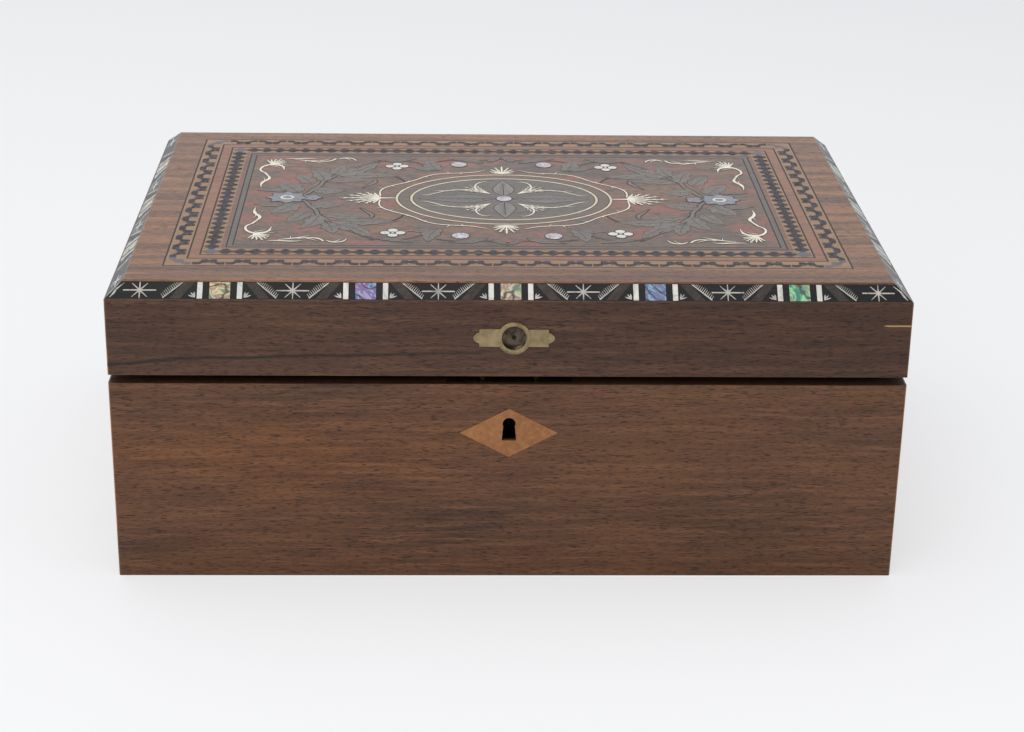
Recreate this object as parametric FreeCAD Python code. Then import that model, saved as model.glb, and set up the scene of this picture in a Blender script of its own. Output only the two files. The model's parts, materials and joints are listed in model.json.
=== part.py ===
import FreeCAD, Part
import math
import os

# Inlaid rosewood table box: a dovetailed carcass under veneer, a hinged lid with shell-inlaid ebony
# edge strips and a marquetry top, a brass box lock and two brass stop hinges.
# Millimetres. X runs along the front, Y to the back, Z up; the origin is the centre of the underside.

# Overall sizes
box_width = 356.0
box_depth = 248.0
base_height = 96.0
rim_gap = 0.3            # between base rim and closed lid
lid_wall_height = 35.2   # upright part of the lid side
slope_run = 8.0          # sloping lid edge, measured level
slope_rise = 6.9         # sloping lid edge, measured upright
edge_round = 0.8         # worn outer edges
lid_rest_angle = 0.85    # the lid stands a little open, degrees

# Carcass
veneer = 0.6
board = 11.0
bottom_thickness = 8.0
bottom_rebate = 5.0
lid_top_thickness = 9.0
base_tail_count = 4
lid_tail_count = 2
tail_share = 0.62        # part of each pitch that a tail takes at its wide end
tail_slope = 0.17        # flare of a tail for each millimetre of its length

# Sloping edge strips and their inlay
strip_thickness = 1.5
mitre_reach = 20.0       # how far in from a corner the mitre cuts run
inlay_margin = 0.3       # from the inlay to the long edges of a strip
inlay_kerf = 0.08        # saw cut round a piece let into a strip
motif_pitch = 63.8       # from tile to tile
front_tile_count = 5
side_tile_count = 3
tile_width = 9.1
bar_width = 2.3
bar_offset = 8.7         # from tile centre to bar centre
diagonal_width = 4.8
diagonal_lean = 6.2
diagonal_offset = 10.9   # from tile centre to the diagonal's inner top corner

# Lid top, from the edge inwards
border_side = 14.7
border_front = 18.1
border_back = 12.6
stringing_width = 0.8
outer_banding_width = 9.0
tulipwood_width = 4.4
inner_banding_width = 8.0
kingwood_width = 2.3
frame_width = 3.0
marquetry_kerf = 0.25    # saw cut round a marquetry piece, filled with dark glue

# Oval in the middle of the panel, half lengths along X and Y
oval_string_outer = (53.1, 40.0)
oval_string_inner = (46.0, 33.4)
oval_string_width = 1.2
oval_string_sides = 32
oval_centre_shell = (3.6, 3.9)
level_leaf = (6.0, 41.5, 7.0)     # start, tip and half width
upright_leaf = (6.3, 30.0, 5.0)

# Shell pieces of the panel, placed by shares of its half length and half depth
shell_oval_share = (0.173, 0.784)
shell_oval_size = (4.0, 3.6)
pearl_flower_share = (0.423, 0.745)
pearl_flower_reach = (5.9, 3.1)   # from the centre to a petal's end and to the notch beside it
pearl_flower_petals = 4
blossom_share = 0.84
blossom_reach = (9.8, 8.2)
blossom_petals = 6
petal_corners = 5        # corners drawn along one petal
pearl_ring_radius = 3.0
pearl_ring_width = 0.8
shell_sides = 12         # small rounds of shell are drawn with this many sides

# Dark leaves in one quarter of the panel, in shares: root, tip, bulge on the left and on the right
leaf_steps = 4           # straight steps drawn along one side of a leaf
quarter_leaves = (
    ((0.753, 0.133), (0.666, 0.531), 0.070, 0.006),
    ((0.729, 0.321), (0.820, 0.643), 0.067, 0.064),
    ((0.737, 0.112), (0.594, 0.287), 0.064, 0.070),
    ((0.681, 0.503), (0.396, 0.580), 0.036, 0.062),
    ((0.666, 0.531), (0.531, 0.853), 0.048, 0.062),
    ((0.816, 0.154), (0.935, 0.335), 0.059, 0.062),
)
axis_leaf = ((0.0, 0.875), (0.0, 0.973), 0.045, 0.045)

# Keyhole and its diamond on the base front
key_room = 3.2           # from the bolt's lower edge down to the centre of the keyhole's round head
keyhole_radius = 2.9
keyhole_neck = 2.5       # half width where the skirt leaves the head
keyhole_foot = 3.3       # half width at the foot
keyhole_drop = 8.3       # from head centre to foot
key_slot_half = 3.5      # half width of the plain slot behind the keyhole
diamond_half_width = 22.2
diamond_half_height = 11.9
diamond_drop = 4.5       # from the keyhole's head centre to the diamond's centre
diamond_thickness = 1.2
diamond_kerf = 0.12

# Brass plate on the lid front
lid_plate_height = 18.3  # above the lid's lower edge
lid_plate_aside = 1.6    # to the right of the keyhole, as it was fitted by hand
lid_plate_half_bar = 15.4
lid_plate_bar_height = 8.4
lid_plate_nose = 2.7
lid_plate_proud = 0.3
roundel_radius = 7.7
dish_radius = 5.4
dish_floor_radius = 2.8
dish_depth = 0.7
plate_pin_radius = 0.9
plate_pin_head = 0.3     # height of the pin's end over the bottom of the dish
plate_pin_length = 8.0

# Stop hinges
hinge_inset = 44.0       # from the end of the box to the hinge
hinge_length = 48.0
hinge_leaf_depth = 9.4
hinge_leaf_thickness = 1.6
knuckle_count = 3
knuckle_gap = 0.2
knuckle_radius = 2.6
knuckle_clearance = 0.3
hinge_pin_radius = 1.2
hinge_pin_clearance = 0.05
hinge_axis_offset = 1.0  # behind the back of the box
heel_reach = 4.6
heel_back = 0.3          # from the axis to the heel's near side
stop_angle = 100.5       # opening at which the heels meet

# Box lock
selvedge_half_width = 28.0
selvedge_depth = 9.0
lock_plate_thickness = 1.6
lock_plate_margin = 3.0  # from the cap's lower edge to the plate's
cap_half_width = 22.0
cap_depth = 7.0
cap_margin = 3.5         # from the keyhole's foot to the cap's lower edge
cap_wall = 1.0
drill_pin_radius = 1.1
drill_pin_length = 8.4
loop_offset = 12.0       # of each strike loop from the middle
loop_thickness = 2.0
loop_width = 4.6
loop_side = 0.9
loop_bar = 1.0
slot_clearance = 0.6
bolt_travel = 4.0
bolt_clearance = 0.3
bolt_bar_height = 6.5
bolt_bar_drop = 9.5      # from the rim to the top of the bar
prong_height = 2.0
prong_thickness = 1.8
prong_drop = 6.0         # from the rim to the middle of a prong
prong_length = 7.0
prong_riser = 2.5
prong_play = 0.25        # between prong and loop, above and below
prong_stand_off = 0.5    # from a drawn prong to its loop
talon_width = 6.0
talon_depth = 2.5
talon_share = 0.75       # part of the talon to the left of the keyhole when the bolt is drawn
stud_half = 1.0
stud_offset = 8.0
spring_foot = 3.5
spring_span = 9.5
spring_thickness = 0.5
spring_width = 3.0
spring_sag = 0.2         # bow of the spring, as a part of its rise

# Countersunk brass screws, drawn with few sides because they repeat
screw_sides = 8
screw_head_radius = 2.0
screw_head_height = 1.0
screw_radius = 1.0
screw_length = 9.0
screw_clearance = 0.05
hinge_screw_spacing = 30.0
lock_screw_inset = 3.0

# Places worked out from the sizes
half_width = box_width / 2
half_depth = box_depth / 2
carcass_x = half_width - veneer
carcass_y = half_depth - veneer
inner_x = carcass_x - board
inner_y = carcass_y - board
lid_bottom = base_height + rim_gap
slope_bottom = lid_bottom + lid_wall_height
lid_top = slope_bottom + slope_rise
top_veneer_bottom = lid_top - veneer
rail_top = top_veneer_bottom - lid_top_thickness
slope_length = math.hypot(slope_run, slope_rise)
hinge_y = half_depth + hinge_axis_offset
hinge_z = base_height + rim_gap / 2
bar_top = base_height - bolt_bar_drop
bar_low = bar_top - bolt_bar_height
keyhole_height = bar_low - key_room
diamond_height = keyhole_height - diamond_drop
cap_low = keyhole_height - keyhole_drop - cap_margin
lock_low = cap_low - lock_plate_margin
lock_face = -inner_y
lock_middle = lock_face - lock_plate_thickness - (cap_depth - cap_wall) / 2
overrun = 2.0            # how far a cutter passes the faces it cuts

vector = FreeCAD.Vector
up = vector(0, 0, 1)
across = vector(1, 0, 0)
inwards = vector(0, 1, 0)
sides = (
    ("front", 0, half_depth, half_width),
    ("right", 90, half_width, half_depth),
    ("back", 180, half_depth, half_width),
    ("left", 270, half_width, half_depth),
)
base_pieces = {}
lid_pieces = {}


def block(x_range, y_range, z_range):
    """A box from its three ranges."""
    low = vector(x_range[0], y_range[0], z_range[0])
    size = vector(x_range[1], y_range[1], z_range[1]) - low
    return Part.makeBox(size.x, size.y, size.z, low)


def prism(points, travel):
    """A solid swept from a flat polygon along a vector."""
    corners = [vector(*point) for point in points]
    return Part.Face(Part.makePolygon(corners + corners[:1])).extrude(travel)


def round_bar(centre, direction, radius, length):
    """A plain cylinder."""
    return Part.makeCylinder(radius, length, vector(*centre), direction)


def turned_to_side(shape, angle):
    """A copy of a front piece, turned about the box's upright middle line."""
    turned = shape.copy()
    turned.rotate(vector(0, 0, 0), up, angle)
    return turned


def side_prism(profile, half_out, half_length, angle):
    """A bar along one side; its profile gives distances in from the outer face, and heights."""
    points = [(-half_length, inset - half_out, height) for inset, height in profile]
    return turned_to_side(prism(points, across * (2 * half_length)), angle)


def rounded(solid):
    """The block with its upright edges rounded."""
    edges = []
    for edge in solid.Edges:
        heights = [vertex.Z for vertex in edge.Vertexes]
        if abs(heights[0] - heights[1]) > edge_round:
            edges.append(edge)
    return solid.makeFillet(edge_round, edges)


# Carcass boards
def corner_tails(z_range, count):
    """The dovetails of one corner, at the front right."""
    pitch = (z_range[1] - z_range[0]) / count
    wide = pitch * tail_share / 2
    narrow = wide - board * tail_slope
    tails = []
    for index in range(count):
        middle = z_range[0] + pitch * (index + 0.5)
        outline = [(inner_x, -inner_y, middle - narrow), (inner_x, -carcass_y, middle - wide)]
        outline += [(inner_x, -carcass_y, middle + wide), (inner_x, -inner_y, middle + narrow)]
        tails.append(prism(outline, across * board))
    return Part.makeCompound(tails)


def dovetailed_frame(z_range, count):
    """Front, back, left and right boards; the side boards carry the tails."""
    tail = corner_tails(z_range, count)
    mirrored_tail = tail.mirror(vector(0, 0, 0), across)
    front = block((-carcass_x, carcass_x), (-carcass_y, -inner_y), z_range)
    front = front.cut([tail, mirrored_tail])
    back = front.mirror(vector(0, 0, 0), inwards)
    right = block((inner_x, carcass_x), (-carcass_y, carcass_y), z_range).cut([front, back])
    left = right.mirror(vector(0, 0, 0), across)
    return {"front": front, "back": back, "left": left, "right": right}


def side_veneers(envelope, z_range):
    """Thin sheets on the four sides; front and back cover the ends of the other two."""
    sheets = {}
    for name, angle, half_out, half_length in sides:
        reach = half_length if name in ("front", "back") else half_length - veneer
        profile = [(0, z_range[0]), (veneer, z_range[0]), (veneer, z_range[1]), (0, z_range[1])]
        sheets[name] = side_prism(profile, half_out, reach, angle).common(envelope)
    return sheets


base_range = (0, base_height)
base_boards = dovetailed_frame(base_range, base_tail_count)
base_envelope = rounded(block((-half_width, half_width), (-half_depth, half_depth), base_range))
base_veneers = side_veneers(base_envelope, base_range)
bottom_x = inner_x + bottom_rebate
bottom_y = inner_y + bottom_rebate
bottom_board = block((-bottom_x, bottom_x), (-bottom_y, bottom_y), (0, bottom_thickness))
base_pieces["bottom_board"] = bottom_board
for side in base_boards:
    base_boards[side] = base_boards[side].cut(bottom_board)

lid_boards = dovetailed_frame((lid_bottom, rail_top), lid_tail_count)


def sloped_edge_cutters(shift):
    """Wedges that cut the sloping edge, moved in level by the shift."""
    steep = slope_rise / slope_run
    low = (shift - overrun, slope_bottom - overrun * steep)
    high = (shift + slope_run + overrun, lid_top + overrun * steep)
    profile = [low, high, (shift - overrun, high[1])]
    if shift > 0:
        profile.append((-overrun, high[1]))
        profile.append((-overrun, low[1]))
    return [side_prism(profile, half_out, half_length + overrun, angle)
            for name, angle, half_out, half_length in sides]


lid_range = (lid_bottom, lid_top)
lid_block = block((-half_width, half_width), (-half_depth, half_depth), lid_range)
lid_envelope = rounded(lid_block).cut(sloped_edge_cutters(0))
lid_veneers = side_veneers(lid_envelope, lid_range)
strip_shift = strip_thickness * slope_length / slope_rise
lid_top_board = block(
    (-carcass_x, carcass_x), (-carcass_y, carcass_y), (rail_top, top_veneer_bottom))
lid_pieces["lid_top_board"] = lid_top_board.cut(sloped_edge_cutters(strip_shift))

# Sloping edge strips with shell inlay
strip_low = veneer * slope_length / slope_run
strip_high = slope_length - veneer * slope_length / slope_rise
inlay_low = strip_low + inlay_margin
inlay_high = strip_high - inlay_margin


def edge_strip(angle, half_out, half_length):
    """One black strip on the slope, mitred at both ends."""
    steep = slope_rise / slope_run
    back_drop = strip_thickness * slope_length / slope_run
    level = slope_run * (top_veneer_bottom - slope_bottom) / slope_rise
    profile = [(veneer, slope_bottom + veneer * steep), (level, top_veneer_bottom)]
    profile += [(level + strip_shift, top_veneer_bottom)]
    profile += [(veneer, slope_bottom + veneer * steep - back_drop)]
    bar = side_prism(profile, half_out, half_length, angle)
    inner_length = half_length - mitre_reach
    inner_out = half_out - mitre_reach
    mitre = [(-half_length, -half_out, 0), (half_length, -half_out, 0)]
    mitre += [(inner_length, -inner_out, 0), (-inner_length, -inner_out, 0)]
    return bar.common(turned_to_side(prism(mitre, up * (lid_top + overrun)), angle))


def rectangle_on_slope(middle, width, grow):
    """An upright inlay piece across the strip."""
    half = width / 2 + grow
    low = inlay_low - grow
    high = inlay_high + grow
    return [(middle - half, low), (middle + half, low), (middle + half, high), (middle - half, high)]


def diagonal_on_slope(middle, hand, grow):
    """A slanting bar whose top leans towards the tile in the middle."""
    low = inlay_low - grow
    high = inlay_high + grow
    top_inner = middle + hand * (diagonal_offset - grow)
    top_outer = middle + hand * (diagonal_offset + diagonal_width + grow)
    lean = hand * diagonal_lean
    return [(top_inner, high), (top_outer, high), (top_outer + lean, low), (top_inner + lean, low)]


def laid_on_slope(outline, below, above, angle, half_out):
    """A flat outline made a solid and laid on the slope of one side."""
    rise = math.degrees(math.atan2(slope_rise, slope_run))
    solid = prism([(along, climb, -below) for along, climb in outline], up * (below + above))
    solid.rotate(vector(0, 0, 0), across, rise)
    solid.translate(vector(0, -half_out, slope_bottom))
    return turned_to_side(solid, angle)


def slope_outlines(tile_count, grow):
    """Outlines of every inlay piece on one side, by kind."""
    tiles = [motif_pitch * (index - (tile_count - 1) / 2) for index in range(tile_count)]
    hands = [(tile, hand) for tile in tiles for hand in (-1, 1)]
    return {
        "abalone_edge_tiles": [rectangle_on_slope(tile, tile_width, grow) for tile in tiles],
        "pearl_edge_bars": [rectangle_on_slope(tile + hand * bar_offset, bar_width, grow)
                            for tile, hand in hands],
        "edge_diagonals": [diagonal_on_slope(tile, hand, grow) for tile, hand in hands],
    }


slope_inlay = {}
for side, angle, half_out, half_length in sides:
    tile_count = front_tile_count if side in ("front", "back") else side_tile_count
    strip = edge_strip(angle, half_out, half_length)
    pockets = []
    for kind, outlines in slope_outlines(tile_count, inlay_kerf).items():
        for outline in outlines:
            pockets.append(laid_on_slope(outline, strip_thickness + overrun, overrun, angle, half_out))
    for kind, outlines in slope_outlines(tile_count, 0).items():
        for outline in outlines:
            solid = laid_on_slope(outline, strip_thickness, 0, angle, half_out)
            slope_inlay.setdefault(kind, []).append(solid)
    lid_pieces[side + "_edge_strip"] = strip.cut(pockets)
for kind, solids in slope_inlay.items():
    lid_pieces[kind] = Part.makeCompound(solids)

# Lid top: mitred border, bandings and frame
field_x = half_width - slope_run - border_side
field_front = slope_run + border_front - half_depth
field_back = half_depth - slope_run - border_back
field_middle = (field_front + field_back) / 2
field_y = (field_back - field_front) / 2


def top_plate(outline, cutter=False):
    """A flat outline made a piece of the top layer, or a taller solid to cut its pocket."""
    spare = overrun if cutter else 0
    points = [(x, y, top_veneer_bottom - spare) for x, y in outline]
    return prism(points, up * (veneer + 2 * spare))


def mitred_frame(outer, inner):
    """Four strips between two rectangles, each given by its low and high corner."""
    (left, front), (right, back) = outer
    (in_left, in_front), (in_right, in_back) = inner
    outlines = [
        [(left, front), (right, front), (in_right, in_front), (in_left, in_front)],
        [(right, front), (right, back), (in_right, in_back), (in_right, in_front)],
        [(right, back), (left, back), (in_left, in_back), (in_right, in_back)],
        [(left, back), (left, front), (in_left, in_front), (in_left, in_back)],
    ]
    return Part.makeCompound([top_plate(outline) for outline in outlines])


def field_rectangle(inset):
    """The marquetry field's rectangle, taken in on all sides."""
    low = (inset - field_x, field_middle - field_y + inset)
    high = (field_x - inset, field_middle + field_y - inset)
    return (low, high)


sheet = ((-half_width, -half_depth), (half_width, half_depth))
border = mitred_frame(sheet, field_rectangle(0)).common(lid_envelope)
lid_pieces["border_veneers"] = border
rings = (
    ("string_lines", stringing_width),
    ("outer_banding", outer_banding_width),
    ("string_lines", stringing_width),
    ("tulipwood_band", tulipwood_width),
    ("string_lines", stringing_width),
    ("inner_banding", inner_banding_width),
    ("kingwood_line", kingwood_width),
    ("panel_frame", frame_width),
)
inset = 0.0
frame_solids = {}
for name, width in rings:
    frame = mitred_frame(field_rectangle(inset), field_rectangle(inset + width))
    frame_solids.setdefault(name, []).extend(frame.Solids)
    inset += width
for name, solids in frame_solids.items():
    lid_pieces[name] = Part.makeCompound(solids)


# Marquetry panel
(panel_left, panel_front), (panel_right, panel_back) = field_rectangle(inset)
panel_x = (panel_right - panel_left) / 2
panel_y = (panel_back - panel_front) / 2


def round_plate(middle, reach, corners, grow=0.0, cutter=False):
    """A piece whose outline is given by a rule for the half lengths along X and Y at an angle."""
    outline = []
    for index in range(corners):
        angle = 2 * math.pi * index / corners
        along, aside = reach(angle)
        outline.append((middle[0] + (along + grow) * math.cos(angle),
                        field_middle + middle[1] + (aside + grow) * math.sin(angle)))
    return top_plate(outline, cutter)


def oval_plate(middle, half_lengths, corners, grow=0.0, cutter=False):
    """An oval piece."""
    return round_plate(middle, lambda angle: half_lengths, corners, grow, cutter)


def petal_plate(middle, reach, petals, grow=0.0, cutter=False):
    """A flower of even petals cut as one piece."""
    swell = (reach[0] - reach[1]) / 2
    mean = (reach[0] + reach[1]) / 2

    def at_angle(angle):
        radius = mean + swell * math.cos(petals * angle)
        return radius, radius

    return round_plate(middle, at_angle, petals * petal_corners, grow, cutter)


def leaf_plate(root, tip, left, right, grow=0.0):
    """A leaf between two bulging sides, or the cutter of its pocket if grown."""
    start = vector(*root, 0)
    end = vector(*tip, 0)
    along = (end - start).normalize()
    aside = up.cross(along)
    start = start - along * grow
    end = end + along * grow
    sides_of_leaf = []
    for bulge in (left + grow, -right - grow):
        side = []
        for step in range(leaf_steps):
            share = step / leaf_steps
            swell = bulge * 4 * share * (1 - share)
            side.append(start + (end - start) * share + aside * swell)
        sides_of_leaf.append(side)
    corners = sides_of_leaf[0] + [end] + sides_of_leaf[1][:0:-1]
    return top_plate([(corner.x, field_middle + corner.y) for corner in corners], grow > 0)


def on_panel(share, hand, rank):
    """A place given by shares of the panel, in the quarter of a hand and a rank."""
    return (share[0] * hand * panel_x, share[1] * rank * panel_y)


def quarter_places(share):
    """One place mirrored into the four quarters."""
    return [on_panel(share, hand, rank) for hand in (-1, 1) for rank in (-1, 1)]


def all_leaves(grow):
    """Every dark leaf of the panel, joined where leaves meet."""
    leaves = []
    for hand in (-1, 1):
        for rank in (-1, 1):
            for root, tip, left, right in quarter_leaves:
                shares = (left, right) if hand * rank > 0 else (right, left)
                bulges = [share * panel_y for share in shares]
                start = on_panel(root, hand, rank)
                end = on_panel(tip, hand, rank)
                leaves.append(leaf_plate(start, end, *bulges, grow))
    for rank in (-1, 1):
        root, tip, left, right = axis_leaf
        bulges = (left * panel_y, right * panel_y)
        leaves.append(leaf_plate(on_panel(root, 1, rank), on_panel(tip, 1, rank), *bulges, grow))
    return leaves[0].multiFuse(leaves[1:]).removeSplitter()


def pearl_flower(place, grow=0.0):
    """A pearl flower, or the cutter of its pocket if grown."""
    return petal_plate(place, pearl_flower_reach, pearl_flower_petals, grow, grow > 0)


def blossom(place, grow=0.0):
    """A shell blossom, or the cutter of its pocket if grown."""
    return petal_plate(place, blossom_reach, blossom_petals, grow, grow > 0)


def shell_oval(place, half_lengths, grow=0.0):
    """A small oval of shell, or the cutter of its pocket if grown."""
    return oval_plate(place, half_lengths, shell_sides, grow, grow > 0)


def oval_ring(outer, inner, corners, middle=(0, 0)):
    """A flat ring between two ovals."""
    return oval_plate(middle, outer, corners).cut(oval_plate(middle, inner, corners, cutter=True))


shell_places = quarter_places(shell_oval_share)
flower_places = quarter_places(pearl_flower_share)
blossom_places = [on_panel((blossom_share, 0), hand, 1) for hand in (-1, 1)]
ring_half = (pearl_ring_radius, pearl_ring_radius)
ring_hole = (pearl_ring_radius - pearl_ring_width, pearl_ring_radius - pearl_ring_width)

blossom_pockets = [blossom(place, marquetry_kerf) for place in blossom_places]
lid_pieces["scroll_foliage"] = all_leaves(0).cut(blossom_pockets)
pearl_rings = [oval_ring(ring_half, ring_hole, shell_sides, place) for place in blossom_places]
lid_pieces["pearl_rings"] = Part.makeCompound(pearl_rings)
lid_pieces["abalone_flowers"] = Part.makeCompound(
    [blossom(place).cut(pearl_rings) for place in blossom_places])
lid_pieces["pearl_flowers"] = Part.makeCompound([pearl_flower(place) for place in flower_places])
shell_ovals = [shell_oval(place, shell_oval_size) for place in shell_places]
shell_ovals.append(shell_oval((0, 0), oval_centre_shell))
lid_pieces["abalone_ovals"] = Part.makeCompound(shell_ovals)

outer_bore = [half - oval_string_width for half in oval_string_outer]
inner_bore = [half - oval_string_width for half in oval_string_inner]
outer_string = oval_ring(oval_string_outer, outer_bore, oval_string_sides)
inner_string = oval_ring(oval_string_inner, inner_bore, oval_string_sides)
lid_pieces["oval_strings"] = Part.makeCompound([outer_string, inner_string])
lid_pieces["oval_band"] = oval_ring(outer_bore, oval_string_inner, oval_string_sides)


def oval_leaves(grow):
    """Two level and two upright leaves about the middle shell."""
    leaves = []
    for hand in (-1, 1):
        start, end, half = level_leaf
        leaves.append(leaf_plate((start * hand, 0), (end * hand, 0), half, half, grow))
        start, end, half = upright_leaf
        leaves.append(leaf_plate((0, start * hand), (0, end * hand), half, half, grow))
    return leaves


middle_pocket = shell_oval((0, 0), oval_centre_shell, marquetry_kerf)
leaf_pockets = oval_leaves(marquetry_kerf)
lid_pieces["oval_leaves"] = Part.makeCompound([leaf.cut(middle_pocket) for leaf in oval_leaves(0)])
lid_pieces["oval_ground"] = oval_plate((0, 0), inner_bore, oval_string_sides).cut(
    leaf_pockets + [middle_pocket])

panel = top_plate([(panel_left, panel_front), (panel_right, panel_front),
                   (panel_right, panel_back), (panel_left, panel_back)])
panel_pockets = [oval_plate((0, 0), oval_string_outer, oval_string_sides, marquetry_kerf, True)]
panel_pockets += [all_leaves(marquetry_kerf)]
panel_pockets += blossom_pockets
panel_pockets += [pearl_flower(place, marquetry_kerf) for place in flower_places]
panel_pockets += [shell_oval(place, shell_oval_size, marquetry_kerf) for place in shell_places]
lid_pieces["centre_panel"] = panel.cut(panel_pockets)


# Keyhole diamond
def diamond(grow, y_range):
    """The diamond outline made a solid through the front."""
    to_edge = diamond_half_width * diamond_half_height / math.hypot(
        diamond_half_width, diamond_half_height)
    scale = 1 + grow / to_edge
    wide = diamond_half_width * scale
    tall = diamond_half_height * scale
    outline = [(-wide, y_range[0], diamond_height), (0, y_range[0], diamond_height - tall)]
    outline += [(wide, y_range[0], diamond_height), (0, y_range[0], diamond_height + tall)]
    return prism(outline, inwards * (y_range[1] - y_range[0]))


def keyhole(grow, y_range):
    """A round head over a flared skirt."""
    length = y_range[1] - y_range[0]
    head = round_bar((0, y_range[0], keyhole_height), inwards, keyhole_radius + grow, length)
    neck = keyhole_neck + grow
    foot = keyhole_foot + grow
    low = keyhole_height - keyhole_drop - grow
    skirt = [(-neck, y_range[0], keyhole_height), (-foot, y_range[0], low)]
    skirt += [(foot, y_range[0], low), (neck, y_range[0], keyhole_height)]
    return head.fuse(prism(skirt, inwards * length)).removeSplitter()


through_front = (-half_depth - overrun, lock_face)
diamond_range = (-half_depth, diamond_thickness - half_depth)
diamond_pocket = diamond(diamond_kerf, (-half_depth - overrun, diamond_range[1]))
base_pieces["keyhole_diamond"] = diamond(0, diamond_range).cut(keyhole(0, through_front))
base_veneers["front"] = base_veneers["front"].cut(diamond_pocket)


# Screws
def screw(place, direction, grow=0.0):
    """A countersunk screw with its head level with the place, pointing along the direction."""
    aloft = direction.cross(across)
    stations = ((0, screw_head_radius), (screw_head_height, screw_radius),
                (screw_length + grow, screw_radius))
    rings = []
    for depth, radius in stations:
        ring = []
        for index in range(screw_sides):
            angle = 2 * math.pi * index / screw_sides
            spoke = across * math.cos(angle) + aloft * math.sin(angle)
            ring.append(vector(*place) + direction * depth + spoke * (radius + grow))
        rings.append(ring)
    outlines = [rings[0], rings[-1]]
    for ring, following in zip(rings, rings[1:]):
        for index in range(screw_sides):
            outlines.append([ring[index - 1], ring[index], following[index], following[index - 1]])
    faces = [Part.Face(Part.makePolygon(outline + outline[:1])) for outline in outlines]
    solid = Part.Solid(Part.Shell(faces))
    return solid if solid.Volume > 0 else solid.reversed()


# Box lock
rim_plate_bottom = base_height - lock_plate_thickness
plate_back = lock_face - lock_plate_thickness
cap_front = plate_back - cap_depth
loops = (-loop_offset, loop_offset)
loop_slot = (loop_thickness / 2 + slot_clearance, loop_width / 2 + slot_clearance)
stud_height = base_height - bolt_bar_drop - stud_half - 2 * bolt_clearance
studs = (-stud_offset, stud_offset)

selvedge = block((-selvedge_half_width, selvedge_half_width), (lock_face - selvedge_depth, lock_face),
                 (rim_plate_bottom, base_height))
for middle in loops:
    selvedge = selvedge.cut(block(
        (middle - loop_slot[0], middle + loop_slot[0]),
        (lock_middle - loop_slot[1], lock_middle + loop_slot[1]),
        (rim_plate_bottom - overrun, base_height + overrun)))
lock_plate = block((-selvedge_half_width, selvedge_half_width), (plate_back, lock_face),
                   (lock_low, base_height)).fuse(selvedge)
for middle in studs:
    stud = block((middle - stud_half, middle + stud_half), (cap_front + cap_wall, plate_back),
                 (stud_height - stud_half, stud_height + stud_half))
    lock_plate = lock_plate.fuse(stud)
lock_plate = lock_plate.removeSplitter()
cap_outer = block((-cap_half_width, cap_half_width), (cap_front, plate_back), (cap_low, rim_plate_bottom))
cap_inner = block((cap_wall - cap_half_width, cap_half_width - cap_wall),
                  (cap_front + cap_wall, plate_back + overrun),
                  (cap_low + cap_wall, rim_plate_bottom + overrun))
lock_cap = cap_outer.cut([cap_inner, keyhole(bolt_clearance, through_front)])
lock_screw_x = selvedge_half_width - lock_screw_inset
lock_screw_y = lock_face - selvedge_depth / 2
lock_screws = [((hand * lock_screw_x, lock_screw_y, base_height), -up) for hand in (-1, 1)]
lock_holes = [screw(place, way, screw_clearance) for place, way in lock_screws]
base_pieces["lock_plate"] = lock_plate.cut(lock_holes)
base_pieces["lock_cap"] = lock_cap
base_pieces["lock_drill_pin"] = round_bar(
    (0, plate_back, keyhole_height), -inwards, drill_pin_radius, drill_pin_length)
key_slot = block((-key_slot_half, key_slot_half), through_front,
                 (keyhole_height - keyhole_drop, keyhole_height + keyhole_radius))
mortises = [cap_outer, block((-selvedge_half_width, selvedge_half_width), (plate_back, lock_face),
                             (lock_low, base_height))]
mortises.append(block((-selvedge_half_width, selvedge_half_width),
                      (lock_face - selvedge_depth, lock_face), (rim_plate_bottom, base_height)))
base_boards["front"] = base_boards["front"].cut(
    mortises + lock_holes + [diamond_pocket, key_slot])

# Bolt with two prongs, drawn to the left at rest
prong_middle = base_height - prong_drop
prong_range = (prong_middle - prong_height / 2, prong_middle + prong_height / 2)
prong_tips = [middle - loop_thickness / 2 - prong_stand_off for middle in loops]
prong_roots = [tip - prong_length for tip in prong_tips]
bolt_y = (cap_front + cap_wall + bolt_clearance, plate_back - bolt_clearance)
prong_y = (lock_middle - prong_thickness / 2, lock_middle + prong_thickness / 2)
lock_bolt = block((prong_roots[0], prong_tips[1]), bolt_y, (bar_low, bar_top))
for root, tip in zip(prong_roots, prong_tips):
    riser = block((root, root + prong_riser), prong_y, (bar_top, prong_range[1]))
    prong = block((root, tip), prong_y, prong_range)
    lock_bolt = lock_bolt.fuse([riser, prong])
talon_left = -talon_width * talon_share
talon = block((talon_left, talon_left + talon_width), (bolt_y[0] - overrun, bolt_y[1] + overrun),
              (bar_low - overrun, bar_low + talon_depth))
lock_bolt = lock_bolt.cut(talon)
slot_half = stud_half + bolt_clearance
for middle in studs:
    slot = block((middle - bolt_travel - slot_half, middle + slot_half),
                 (bolt_y[0] - overrun, bolt_y[1] + overrun),
                 (stud_height - slot_half, stud_height + slot_half))
    lock_bolt = lock_bolt.cut(slot)
bolt_pieces = {"lock_bolt": lock_bolt.removeSplitter()}

# Bow spring on the bolt, rubbing under the selvedge
spring_right = prong_roots[1] - prong_stand_off * 2
spring_knee = spring_right - spring_span
spring_left = spring_knee - spring_foot
spring_high = rim_plate_bottom - bolt_clearance
spring_y = lock_middle - spring_width / 2
spring_bow = (spring_high - bar_top) * spring_sag


def spring_line(lift):
    """The bow of the spring, from knee to free end."""
    knee = vector(spring_knee, spring_y, bar_top + lift)
    middle = vector((spring_knee + spring_right) / 2, spring_y,
                    (bar_top + spring_high - spring_thickness) / 2 - spring_bow + lift)
    end = vector(spring_right, spring_y, spring_high - spring_thickness + lift)
    return knee, middle, end


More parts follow.
